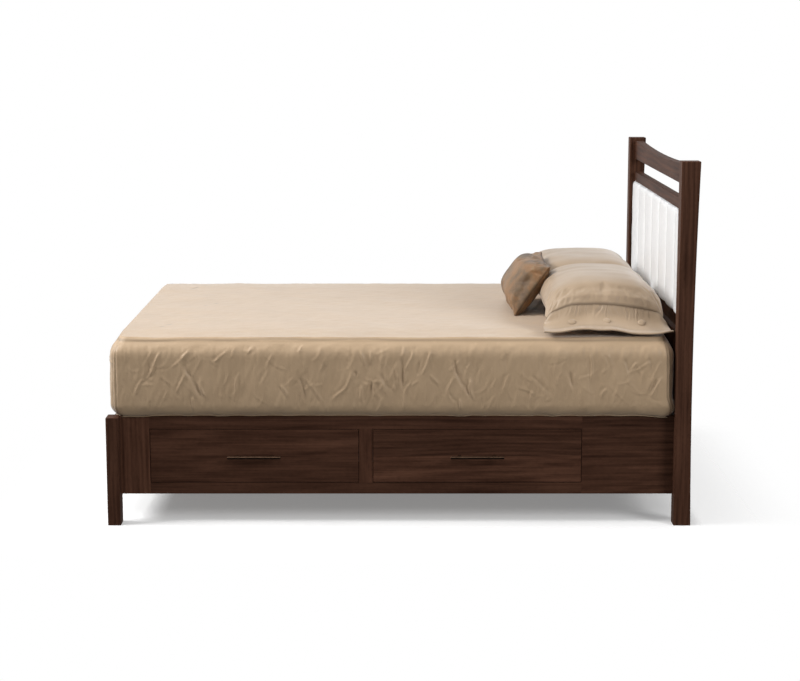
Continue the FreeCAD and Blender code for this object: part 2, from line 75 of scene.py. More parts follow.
def add(kind, values, **settings):
    # values go in by name or in order, and one of them at least is a socket
    pairs = list(values.items() if isinstance(values, dict) else enumerate(values))
    made = fresh(next(value for _, value in pairs if isinstance(value, bpy.types.NodeSocket)), kind)
    for key, value in settings.items():
        setattr(made, key, value)
    for key, value in pairs:
        feed(made.inputs[key], value)
    return made.outputs[0]


def calc(operation, *values):
    return add("Math", values, operation=operation)


def times(first, second):
    return calc("MULTIPLY", first, second)


def scaled(value, slope, start):
    return calc("MULTIPLY_ADD", value, slope, start)


def vector(operation, *values):
    return add("VectorMath", values, operation=operation)


def parts(socket):
    return add("SeparateXYZ", [socket]).node.outputs


def mapped(place, scale=(1, 1, 1), turn=(0, 0, 0), shift=(0, 0, 0), kind="POINT"):
    return add("Mapping", {"Vector": place, "Location": shift, "Rotation": turn, "Scale": scale}, vector_type=kind)


def noise(place, scale, detail=2.0, roughness=0.5):
    return add("TexNoise", {"Vector": place, "Scale": scale, "Detail": detail, "Roughness": roughness})


def wave(place, pitch, wobble=0.0, wobbleScale=1.0, **settings):
    return add("TexWave", {"Vector": place, "Scale": 0.314 / pitch, "Distortion": wobble, "Detail": 1.0,
                           "Detail Scale": wobbleScale}, **settings)


def threads(place, pitch, wobble):
    x, y, z = (wave(place, pitch, wobble, 2.0, bands_direction=way) for way in "XYZ")
    return calc("MAXIMUM", x, calc("MAXIMUM", y, z))


def spread(value, low, high, start=0.0, end=1.0, curve="LINEAR"):
    # start to end becomes low to high
    return add("MapRange", {"Value": value, "From Min": start, "From Max": end, "To Min": low, "To Max": high},
               interpolation_type=curve)


def ramp(value, stops):
    made = fresh(value, "ValToRGB")
    points = made.color_ramp.elements
    while len(points) < len(stops):
        points.new(0.5)
    for point, (place, colour) in zip(points, stops):
        point.position, point.color = place, (*colour, 1)
    feed(made.inputs[0], value)
    return made.outputs[0]


def blended(amount, first, second):
    return add("MixRGB", [amount, first, second])


def shaded(light, amount, change):
    return times(light, scaled(amount, change, 1.0))


# reads the float attribute that marks painted shade on a mesh: seams, creases, folds and hollows
def paintedShade(place):
    layer = fresh(place, "Attribute")
    layer.attribute_name = "paintedShade"
    return layer.outputs["Fac"]


def surface(shader, colour, light, roughness, relief, depth, **settings):
    if light:
        colour = vector("MULTIPLY", colour, add("CombineXYZ", [light] * 3))
    feed(shader.inputs["Base Color"], colour)
    feed(shader.inputs["Roughness"], roughness)
    feed(shader.inputs["Normal"], add("Bump", {"Height": relief, "Distance": depth, "Strength": 1.0}))
    for key, value in settings.items():
        shader.inputs[key.replace("_", " ")].default_value = value


# Wood. Grain runs along one axis; every board has its own cut from the log.
walnut = Form(
    dark=(0.0283, 0.0108, 0.0060), light=(0.119, 0.054, 0.033), ringWidth=0.016, ringWander=0.03,
    figure=0.15, bandSize=(0.36, 0.030), streakSize=(0.30, 0.006), fibre=0.14, pore=0.30,
    poreDepth=0.0001, roughness=(0.50, 0.62), shine=0.06,
)
paleWood = Form(
    dark=(0.42, 0.28, 0.155), light=(0.60, 0.44, 0.27), ringWidth=0.018, ringWander=0.03,
    figure=0.2, bandSize=(0.6, 0.05), streakSize=(0.4, 0.008), fibre=0.08, pore=0.10,
    poreDepth=0.00006, roughness=(0.55, 0.68), shine=0.4,
)
maple = Form(paleWood, dark=(0.50, 0.36, 0.22), light=(0.66, 0.51, 0.34), figure=0.12, roughness=(0.42, 0.5), shine=0.5)
grainTurns = {"x": (0, 0, 0), "y": (0, 0, -math.pi / 2), "z": (0, math.pi / 2, 0)}
cutShift = (3.7, 0.0137)  # how far one glued board's cut lies from the next along the log, and aside per metre of that


def woodMaterial(name, look, axis, seed, tone=1.0, tilt=0.012, splits=()):
    draw = random.Random(seed)
    material, shader, place = newMaterial(name)
    if splits:  # boards glued edge to edge, each with its own cut
        height, shift = parts(place)[2], 0.0
        for level, change in splits:
            above = calc("GREATER_THAN", height, level)
            shift = scaled(above, cutShift[0], shift)
            tone = scaled(above, change, tone)
        place = vector("ADD", place, add("CombineXYZ", [shift, times(shift, cutShift[1]), 0.0]))
    start = [draw.uniform(-9, 9), draw.uniform(-0.2, 0.2), draw.uniform(-0.2, 0.2)]
    grain = mapped(place, turn=grainTurns[axis], shift=start)
    leaned = mapped(grain, turn=(0, draw.uniform(-tilt, tilt), draw.uniform(0.4, 1) * tilt))
    wander = vector("SUBTRACT", noise(mapped(grain, (1.3, 6.5, 6.5)), 1.0).node.outputs["Color"], (0.5, 0.5, 0.5))
    swing = add("VectorMath", {0: wander, "Scale": look.ringWander * 2}, operation="SCALE")
    rings = wave(vector("ADD", leaned, swing), look.ringWidth, 1.2, 3.0, wave_type="RINGS", rings_direction="X")
    fibre = noise(mapped(grain, (3.5, 420, 420)), 1.0, 3.0, 0.6)
    pores = spread(noise(mapped(grain, (38, 1300, 1300)), 1.0, 1.0), 0, 1, 0.6, 0.68)
    long, wide = look.bandSize
    bands = noise(mapped(vector("ADD", grain, swing), (1 / long, 1 / wide, 1 / wide)), 1.0, 3.0, 0.6)
    long, wide = look.streakSize
    streaks = noise(mapped(grain, (1 / long, 1 / wide, 1 / wide)), 1.0)
    body = scaled(rings, look.figure, times(bands, 1.0 - look.figure))
    body = scaled(calc("SUBTRACT", streaks, 0.5), 0.5, body)
    fleck = shaded(spread(fibre, 1 - look.fibre, 1 + look.fibre), pores, -look.pore)
    surface(shader, ramp(body, [(0.16, look.dark), (0.84, look.light)]), times(fleck, tone),
            spread(streaks, *look.roughness), scaled(pores, -1.0, times(fibre, 0.5)),
            look.poreDepth, Specular_IOR_Level=look.shine)
    return material


def cloth(name, colours, threadPitch, roughness, sheen, mottle, mottleSize, marks=()):
    material, shader, place = newMaterial(name)
    tint = spread(noise(place, 1 / mottleSize, 3.0), 0, 1, 0.3, 0.7)
    weave, slub = threads(place, threadPitch, 0.4), noise(place, 900.0)
    light = scaled(weave, mottle * 0.5, 1 - mottle * 0.25)
    light = times(light, spread(slub, 1 - mottle, 1 + mottle))
    light = shaded(light, paintedShade(place), -0.42)  # painted shade: the cloth is darker where the shade attribute marks seams, creases and hollows
    relief = scaled(slub, 0.6, weave)
    if marks:
        fold, dent = noise(place, 46.0, 2.0, 0.6), pinches(place, marks)
        # painted shade in the dents
        light = shaded(shaded(light, spread(fold, 0, 1, 0.60, 0.72), 0.06), dent, -0.34)
        relief = scaled(fold, 3.0, scaled(dent, -9.0, relief))
    surface(shader, blended(tint, *colours), light, spread(slub, roughness - 0.05, roughness + 0.07), relief,
            threadPitch * 0.09, Sheen_Weight=sheen, Sheen_Roughness=0.45, IOR=1.45)
    return material


def pinches(place, marks):
    # short dents in the cloth, each one a long thin spot of painted shade
    total = 0.0
    for x, y, length, width, angle in marks:
        turned = mapped(place, (length / 2, width / 2, 1), (0, 0, angle), (x, y, 0), "TEXTURE")
        span = vector("LENGTH", vector("MULTIPLY", turned, (1, 1, 0))).node.outputs["Value"]
        total = calc("MAXIMUM", spread(span, 1.0, 0.0, 0.45, 1.0, "SMOOTHSTEP"), total)
    return total


def metal(name, colour, roughness, brushed, undersideShade=None):
    material, shader, place = newMaterial(name)
    lines = noise(mapped(place, (18, 900, 900)), 1.0)
    wearAndShade = spread(noise(place, 55.0, 3.0), 0, 1, 0.35, 0.75)
    bright = blended(wearAndShade, colour, tuple(channel * 1.5 for channel in colour))
    if undersideShade:  # painted shade: dark on its underside, the bronze colour on its upper side
        up = parts(place.node.outputs["Normal"])[2]
        bright = blended(spread(up, 0, 1, -0.05, 0.42), undersideShade, bright)
    surface(shader, bright, None, spread(lines, roughness - brushed, roughness + brushed), lines, 0.00003, Metallic=1.0)
    return material


def dress(nodeName, material):
    materials = cadNodes[nodeName].data.materials
    materials.clear()
    materials.append(material)


# Boards, each with its own grain: axis, tone and how strongly the rings run out
boards = {
    "headboard_post_near": ("z", 1.08, 0.010), "headboard_post_far": ("z", 1.00, 0.010),
    "headboard_crest_rail": ("y", 0.86, 0.012), "headboard_mid_rail": ("y", 0.84, 0.008),
    "headboard_panel_rail": ("y", 0.95, 0.010), "headboard_lower_board": ("y", 0.95, 0.030),
    "foot_leg_near": ("z", 1.00, 0.010), "foot_leg_far": ("z", 0.97, 0.010),
    "footboard_rail": ("y", 1.00, 0.030), "support_feet": ("z", 0.95, 0.010),
}
sideBoards = {
    "_top_rail": ("x", 1.00, 0.014), "_bottom_rail": ("x", 0.95, 0.010), "_foot_stile": ("z", 1.40, 0.012),
    "_centre_stile": ("z", 1.22, 0.012), "_head_panel": ("x", 1.00, 0.040),
    "_foot_drawer_front": ("x", 0.98, 0.035), "_head_drawer_front": ("x", 1.24, 0.055),
}
for side in signs:
    boards.update({side + board: look for board, look in sideBoards.items()})
gluedBoards = {"head_panel": [(0.243, -0.06), (0.344, -0.10)], "head_drawer_front": [(0.252, -0.32)],
               "foot_drawer_front": [(0.247, 0.07)]}  # heights of the joints, and the change of tone above each
for number, (nodeName, (axis, tone, tilt)) in enumerate(boards.items()):
    splits = next((value for key, value in gluedBoards.items() if nodeName.endswith(key)), ())
    dress(nodeName, woodMaterial("walnut " + nodeName.replace("_", " "), walnut, axis, 40 + number, tone, tilt, splits))

innerFinishes = [  # the nodes whose names end so, and what they are made of
    (("drawer_partitions", "slats"), woodMaterial("pine across the bed", paleWood, "y", 7, 1.0, 0.02)),
    (("slat_supports",), woodMaterial("pine along the bed", paleWood, "x", 8, 0.97, 0.02)),
    (("panel_board",), woodMaterial("backing plywood", paleWood, "y", 9, 0.9, 0.04)),
    (("drawer_back", "drawer_bottom"), woodMaterial("maple along the front", maple, "x", 10, 1.0, 0.02)),
    (("drawer_sides",), woodMaterial("maple along the side", maple, "y", 11, 1.0, 0.02)),
    (("members", "corner_hardware"), metal("zinc plated steel", (0.22, 0.225, 0.235), 0.48, 0.1)),
    # the pull's last colour is painted shade for its underside
    (("drawer_pull",), metal("oil-rubbed bronze", (0.105, 0.064, 0.042), 0.42, 0.08, (0.008, 0.004, 0.003))),
]
for nodeName in cadNodes:
    for endings, material in innerFinishes:
        if nodeName.endswith(endings):
            dress(nodeName, material)
print("boards and hardware dressed")


# Helpers for meshes
def meshPiece(name, points, faces, material, shade=None):
    mesh = bpy.data.meshes.new(name)
    mesh.from_pydata([tuple(point) for point in points], [], faces)
    mesh.validate()
    mesh.polygons.foreach_set("use_smooth", [True] * len(mesh.polygons))
    mesh.materials.append(material)
    piece = bpy.data.objects.new(name, mesh)
    scene.collection.objects.link(piece)
    if shade is not None:
        mesh.attributes.new("paintedShade", "FLOAT", "POINT")
        setShade(piece, shade)
    return piece


# writes the painted shade of each point into the mesh's shade attribute
def setShade(piece, shade):
    piece.data.attributes["paintedShade"].data.foreach_set("value", np.asarray(shade, np.float32))


def readRows(rows, key):
    flat = np.zeros(len(rows) * 3)
    rows.foreach_get(key, flat)
    return flat.reshape(-1, 3)


def formOf(piece):
    return readRows(piece.data.vertices, "co") / mm, readRows(piece.data.vertex_normals, "vector")


def setPoints(piece, points):
    piece.data.vertices.foreach_set("co", points.ravel())
    piece.data.update()


def ringFaces(rows, count, first=0):
    # quads between closed rings of points, from one ring to the next
    starts = [(first + row * count, first + (row + 1) * count) for row in range(rows - 1)]
    return [(here + turn, here + (turn + 1) % count, above + (turn + 1) % count, above + turn)
            for here, above in starts for turn in range(count)]


def gridFaces(first, columns, rows):
    # quads of an open grid whose rows hold columns + 1 points
    corners = [first + row * (columns + 1) + column for row in range(rows) for column in range(columns)]
    return [(corner, corner + 1, corner + columns + 2, corner + columns + 1) for corner in corners]


def gridBorder(first, columns, rows):
    wide = columns + 1
    last = first + rows * wide + columns
    return ([first + x for x in range(columns)] + [first + columns + y * wide for y in range(rows)]
            + [last - x for x in range(columns)] + [last - columns - y * wide for y in range(rows)])


def softField(points, wavelength, seed, stretch=(1, 1, 1), waves=26):
    draw = np.random.RandomState(seed)
    ways = draw.normal(size=(waves, 3))
    ways /= np.linalg.norm(ways, axis=1)[:, None]
    pace = 2 * math.pi / (wavelength * draw.uniform(0.7, 1.5, waves))
    phase = draw.uniform(0, 2 * math.pi, waves)
    return np.sin(points / np.array(stretch) @ (ways * pace[:, None]).T + phase).sum(1) / math.sqrt(waves / 2)


def step(value, low, high):
    share = np.clip((value - low) / (high - low), 0, 1)
    return share * share * (3 - 2 * share)


def bell(value, width):
    return np.exp(-(value / width) ** 2)


def creaseHeight(across, up, creases, halfWidth):
    height = np.zeros_like(across)
    for strength, path in creases:
        for _ in range(2):  # corners rounded twice
            cut = np.stack([path[:-1] * 0.75 + path[1:] * 0.25, path[:-1] * 0.25 + path[1:] * 0.75], 1)
            path = np.concatenate([path[:1], cut.reshape(-1, 2), path[-1:]])
        low, high = path.min(0) - 4 * halfWidth, path.max(0) + 4 * halfWidth
        near = np.flatnonzero((across > low[0]) & (across < high[0]) & (up > low[1]) & (up < high[1]))
        if not len(near):
            continue
        lengths = np.maximum(np.linalg.norm(np.diff(path, axis=0), axis=1), 1e-9)
        ways = np.diff(path, axis=0) / lengths[:, None]
        off = np.stack([across[near], up[near]], 1) - path[:-1, None]
        share = np.clip(np.einsum("rpc,rc->rp", off, ways), 0, lengths[:, None])
        off -= share[:, :, None] * ways[:, None]
        gap = np.hypot(off[:, :, 0], off[:, :, 1])
        run, point = gap.argmin(0), np.arange(len(near))  # the nearest run of the path to each point
        best, off = gap[run, point], off[run, point]
        along = ((np.cumsum(lengths) - lengths)[run] + share[run, point]) / lengths.sum()
        taper = step(along, -0.02, 0.25) * step(1 - along, -0.02, 0.3)
        signed = np.where(off[:, 1] * ways[run, 0] > off[:, 0] * ways[run, 1], best, -best)
        beside = 0.40 * bell(signed + 2.1 * halfWidth, 1.2 * halfWidth)  # a shallower valley along one side
        height[near] += strength * taper * (bell(best, halfWidth) - beside)
    return height


def smoothTable(places, values, at):
    places, values = np.array(places, float), np.array(values, float)
    slopes = np.gradient(values, places)
    index = np.clip(np.searchsorted(places, at) - 1, 0, len(places) - 2)
    width = places[index + 1] - places[index]
    t = (at - places[index]) / width
    return ((2 * t ** 3 - 3 * t ** 2 + 1) * values[index] + (t ** 3 - 2 * t ** 2 + t) * width * slopes[index]
            + (3 * t ** 2 - 2 * t ** 3) * values[index + 1] + (t ** 3 - t ** 2) * width * slopes[index + 1])


# The fitted sheet: a tight skin over the mattress with a seam round its top and creases in its walls
sheetForm = Form(
    columnsAlong=612, columnsAcross=330, coarse=3,
    height=[0.0, 0.03, 0.06, 0.11, 0.20, 0.72, 0.76, 0.80, 0.84, 0.88, 0.92, 0.946, 0.975, 1.0],
    swell=[0.45, 0.62, 0.75, 0.88, 0.97, 1.00, 0.99, 0.94, 0.82, 0.57, 0.22, 0.03, 0.00, 0.00],
    footDraw=[1.00, 0.52, 0.20] + [0.0] * 11,
    topDraw=[0.0] * 8 + [0.01, 0.03, 0.10, 0.22, 0.45, 1.00],
    endSwell=20, sideSwell=22, footRound=10, topRound=17, corner=42,
    seamHeight=693.5, seamWidth=4.2, seamDepth=0.9, seamPuff=0.9,
    crownDrop=8.0, crownFrom=560.0, headSquare=19.0,
    creaseHeight=3.1, creaseHalfWidth=4.3, furrowDepth=2.9, furrowHalfWidth=6.0,
    waveHeight=1.15, topWave=1.1, hemUnder=17, hemDips=(5.5, 7.5), dartDepth=2.0, dartPuff=1.3,
    shades=(0.7, 0.8, 0.26, 0.30),  # painted shade of the seam, the darts, the foot of the walls and the furrows
)


def tracedPaths(groups):
    return [(strength, np.cumsum(np.reshape(path, (-1, 2)), 0)) for strength, paths in groups.items() for path in paths]


# Ridges traced on the near wall, and valleys where the strength is below zero: under each strength the paths,
# with x and z of the first point and then the steps to the following ones
nearCreases = tracedPaths({
    1.0: [(-871, 656, -16, -25, -9, -23, -8, -26, -10, -26), (-766, 660, -14, -15, -12, -11, -7, -11),
        (-733, 556, 4, -18, -1, -19, 5, -18, 9, -15, 6, -12),
        (117, 664, -6, -19, -7, -18, -5, -19, -8, -22, -7, -15, -5, -18),
        (250, 553, 8, -19, -4, -22, 4, -15, 7, -19, 13, -15), (961, 556, -14, -22, -12, -19, -7, -18, -9, -19)],
    0.9: [(-928, 549, -19, -11, -11, -19, -8, -18, -4, -23), (-784, 571, -6, -18, -9, -19, -11, -19, -6, -14, -4, -19),
        (15, 673, -2, -20, -4, -19), (259, 545, -7, -33, 7, -30)],
    -0.5: [(-887, 586, -23, -33, -19, -15, -15, -15), (-270, 601, -9, -26), (-182, 645, 5, -22),
        (73, 612, -4, -30, -3, -29), (916, 608, 5, -29)],
    0.4: [(-810, 612, -11, -11, -12, -11), (-659, 493, 11, -22), (-496, 504, 0, -22, -10, -22, -14, -23),
        (-278, 571, 0, -26, 0, -22), (-193, 664, 11, -11), (-62, 575, 11, -26, 7, -19), (22, 564, 0, -37),
        (132, 497, -7, -26, -11, -23), (754, 586, -14, -18), (380, 526, -4, -44), (-604, 556, 4, -44, -7, -30)],
    -0.8: [(-786, 638, 1, -22, 2, -23, 5, -18, 14, -19, 14, -18), (-163, 579, 2, -26),
        (201, 627, 0, -34, 4, -22, 11, -18, 14, -15)],
    0.5: [(-775, 623, 3, -30, 5, -18), (-605, 668, -4, -19, -6, -22), (-877, 560, 14, -15, 18, -15, 15, -15),
        (-274, 627, -7, -22, -8, -23, -7, -22), (-67, 645, -2, -29, 0, -34), (-152, 575, 0, -26),
        (-165, 512, -5, -19, -2, -22, 7, -30, 4, -26), (-77, 553, 8, -23, 7, -22, 11, -15, 7, -22),
        (-7, 568, -2, -27, 2, -26), (69, 541, -18, -14, -11, -8), (210, 623, 4, -30, 9, -22, 11, -18),
        (259, 612, -11, -22, -7, -19, -2, -22), (432, 515, -4, -29, -5, -26, -1, -30), (554, 523, 10, -22, 7, -27),
        (639, 568, 1, -27, 4, -18), (818, 612, 7, -22, 6, -22, 3, -34), (861, 612, -6, -26),
        (-143, 651, 7, -25, 11, -22), (-110, 644, 7, -29, 8, -26), (-84, 651, 10, -29, 11, -29), (-26, 526, 7, -29),
        (-183, 519, 0, -33, 3, -37), (753, 648, 15, -22, 7, -33), (870, 615, -18, -22, -15, -26),
        (896, 644, 14, -37, 22, -37), (486, 504, -11, -37), (-439, 530, 14, -29, 15, -23)],
    -0.6: [(-746, 527, 3, -23, 11, -22), (-122, 642, 3, -23, 2, -22), (240, 530, 5, -26, 11, -26)],
    0.6: [(-623, 660, -15, -11, -15, -11, -18, -19, -19, -14), (-585, 575, -11, -30, -4, -22, 0, -22),
        (-539, 671, -10, -15, -9, -14), (-1002, 664, 1, -30, 1, -29), (-463, 649, -10, -22, -11, -22, -7, -26),
        (-269, 452, 1, -22, -2, -19), (-108, 660, 2, -29, 2, -30), (-18, 541, -4, -22, -4, -18),
        (483, 501, -3, -23, -7, -22), (-92, 563, -7, -29, 4, -33), (-757, 482, -4, -29, 7, -30),
        (694, 648, 8, -37, 0, -41, -4, -44)],
    0.35: [(-625, 571, -7, -26, -12, -26), (-250, 638, -2, -30, -4, -26), (292, 590, -3, -41, -4, -34),
        (376, 645, -7, -26)],
    0.45: [(-849, 504, -11, -22, -8, -22), (-726, 627, -8, -22, -9, -23), (351, 553, -7, -26, -11, -19)],
    0.7: [(-762, 482, 0, -15, 3, -22, 4, -27), (-353, 677, -12, -17, -5, -13), (-439, 527, 13, -19, 12, -15, 4, -22),
        (-93, 534, -4, -22, 5, -23, 8, -18), (-70, 471, 0, -23, -9, -18, -16, -19),
        (-11, 619, -7, -26, -9, -22, -6, -18, -5, -19), (110, 568, 7, -19, 13, -11, 9, -10, 11, -9),
        (216, 474, 4, -22, 4, -26), (402, 568, -11, -23, -7, -22, -3, -26), (761, 638, 3, -15, 7, -33),
        (759, 508, -16, -11, -7, -15, 4, -11), (956, 619, -14, -22, -7, -22, -10, -22, -11, -26),
        (-143, 526, 0, -33, -7, -33), (-11, 607, -4, -33, 7, -33), (219, 475, 4, -30, 0, -25)],
    0.3: [(-801, 501, 6, -23, -4, -22), (-926, 512, 7, -30, -8, -34, -4, -30), (62, 501, -7, -27, -4, -26),
        (904, 656, 5, -37), (880, 575, 8, -30), (786, 568, 0, -34)],
    0.75: [(-355, 556, 15, -18, 14, -19, 15, -18, 11, -19, 14, -19, 15, -15)],
    -0.7: [(-366, 553, 8, -26, 7, -26, 3, -30), (-102, 541, -11, -26, -8, -22, -7, -26, -8, -26),
        (618, 568, 5, -27, 8, -22, 6, -18), (936, 549, -11, -26, -6, -22)],
    0.85: [(-175, 571, -11, -30, -8, -22, -15, -18, -22, -15, -14, -15, -11, -15),
        (51, 664, -7, -30, -9, -18, -8, -19, -5, -26),
        (48, 549, -10, -19, -11, -15, -7, -14, -4, -19, 0, -22, -1, -23, -2, -26)],
    0.8: [(-146, 660, 7, -29, 6, -19, 5, -19), (-139, 527, -2, -30, 0, -26, 2, -23),
        (199, 564, -5, -19, -9, -18, -9, -15, -4, -15, 7, -19, 8, -11, -6, -15),
        (693, 660, 6, -37, 4, -30, 0, -29, -4, -34), (-743, 545, 8, -26, 11, -22, 14, -26)],
    -1.0: [(9, 631, 0, -45, -2, -45, 4, -40)],
    -0.4: [(390, 649, -3, -22, -6, -19)],
})
# Wider valleys, given in the same way
nearFurrows = tracedPaths({
    0.8: [(-915, 622, -3, -29, -4, -30, -15, -22, -18, -22), (-366, 559, 7, -33, 8, -37, 7, -40),
        (-74, 574, 11, -26, 15, -29, 15, -18), (621, 578, 4, -33, 7, -33), (936, 545, -15, -30, -11, -33)],
    0.9: [(-798, 633, 8, -40, 14, -26, 19, -26, 11, -29, 11, -26, 14, -22),
        (-95, 545, -11, -26, -4, -30, -7, -33, -11, -36), (201, 622, 0, -37, 11, -33, 18, -26, 15, -25, 7, -23)],
    0.5: [(-812, 530, -8, -33, 15, -22), (-768, 497, 3, -30, 4, -36), (-128, 626, 7, -22, 11, -19),
        (-169, 508, 0, -33, 4, -37), (764, 637, 7, -37), (475, 567, 37, -37, 40, -41)],
    0.7: [(-165, 578, 4, -22, -4, -22), (819, 629, 11, -33, 7, -33), (907, 637, 11, -37, -4, -41)],
    1.0: [(3, 640, 4, -47, 0, -45, 0, -44)],
    0.6: [(-88, 537, 7, -29, 15, -26, 14, -18), (179, 497, 11, -22, 18, -15), (-278, 622, 0, -29, -11, -30),
        (-128, 519, 0, -37, -8, -29), (73, 618, -8, -33, -3, -33)],
    0.35: [(245, 637, 3, -33, -7, -34)],
    0.4: [(384, 570, -11, -33, -8, -33), (-915, 467, -3, -36), (-575, 523, -3, -56), (-505, 570, -11, -44)],
})


def randomCreases(seed, count, low, high, weaker=1.0):
    draw = random.Random(seed)
    creases = []
    for _ in range(count):
        place, top = draw.uniform(low, high), draw.uniform(450, 672)
        lean, length = draw.gauss(0, 0.5), draw.uniform(45, 130)
        path, turn = [(place, top)], draw.gauss(0, 0.5)
        for _ in range(4):
            lean += turn * 0.4 + draw.gauss(0, 0.18)
            place += math.sin(lean) * length / 4
            top -= math.cos(lean) * length / 4
            path.append((place, max(top, 412)))
        creases.append((draw.choice((0.45, 0.6, 0.8, 1.0, -0.6)) * weaker, np.array(path)))
    return creases


def sheetSizes():
    # middle, half length, half width, lowest level and height of the sheet, and its top's own half sizes and corner
    low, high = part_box("fitted_sheet")
    halfX, halfY = (high.x - low.x) * 500, (high.y - low.y) * 500
    offX, offY, radius = ringSizes(1.0)
    return ((low + high) / 2 * 1000, halfX, halfY, low.z * 1000, (high.z - low.z) * 1000,
            (halfX - offX, halfY - offY, radius))


def sheetRing(rim, top, ringX, ringY, radius, level):
    # the rim's points lie on a rectangle; the ring has the same columns round softer corners
    straight = np.array(top[:2]) - top[2]
    corner = np.sign(rim) * np.maximum(np.abs(rim) - straight, 0) / top[2]
    span = np.hypot(corner[:, 0], corner[:, 1])
    span[span < 1e-9] = 1
    along = np.clip(rim, -straight, straight) / straight * (np.array([ringX, ringY]) - radius)
    plan = along + radius * np.abs(corner).max(1)[:, None] * corner / span[:, None]
    return np.column_stack([plan, np.full(len(rim), level)])


def flatGrid(halfX, halfY, countX, countY):
    x, y = np.meshgrid(np.linspace(-halfX, halfX, countX + 1), np.linspace(-halfY, halfY, countY + 1))
    return np.stack([x.ravel(), y.ravel()], 1)


def ringSizes(height):
    # how far a ring lies inside the box, in x and in y, and its corners' radius
    form = sheetForm
    swell, foot, top = (smoothTable(form.height, form[key], height) for key in ("swell", "footDraw", "topDraw"))
    draw = form.footRound * foot + form.topRound * top
    return form.endSwell * (1 - swell) + draw, form.sideSwell * (1 - swell) + draw, form.corner - draw / 2


def wallRings(heights, rim, inset, bottom, tall):
    _, halfX, halfY, _, _, top = sheetSizes()
    rings = []
    for height in heights:
        offX, offY, radius = ringSizes(height)
        rings.append(sheetRing(rim, top, halfX - offX - inset, halfY - offY - inset, radius, bottom + tall * height))
    return rings


def crowned(points, low, tall):
    # the top curves down a little towards both long edges
    drop = sheetForm.crownDrop * step(np.abs(points[:, 1]), sheetForm.crownFrom, sheetForm.crownFrom + 200)
    points[:, 2] -= drop * step(points[:, 2], low + 0.45 * tall, low + 0.9 * tall)
    return points


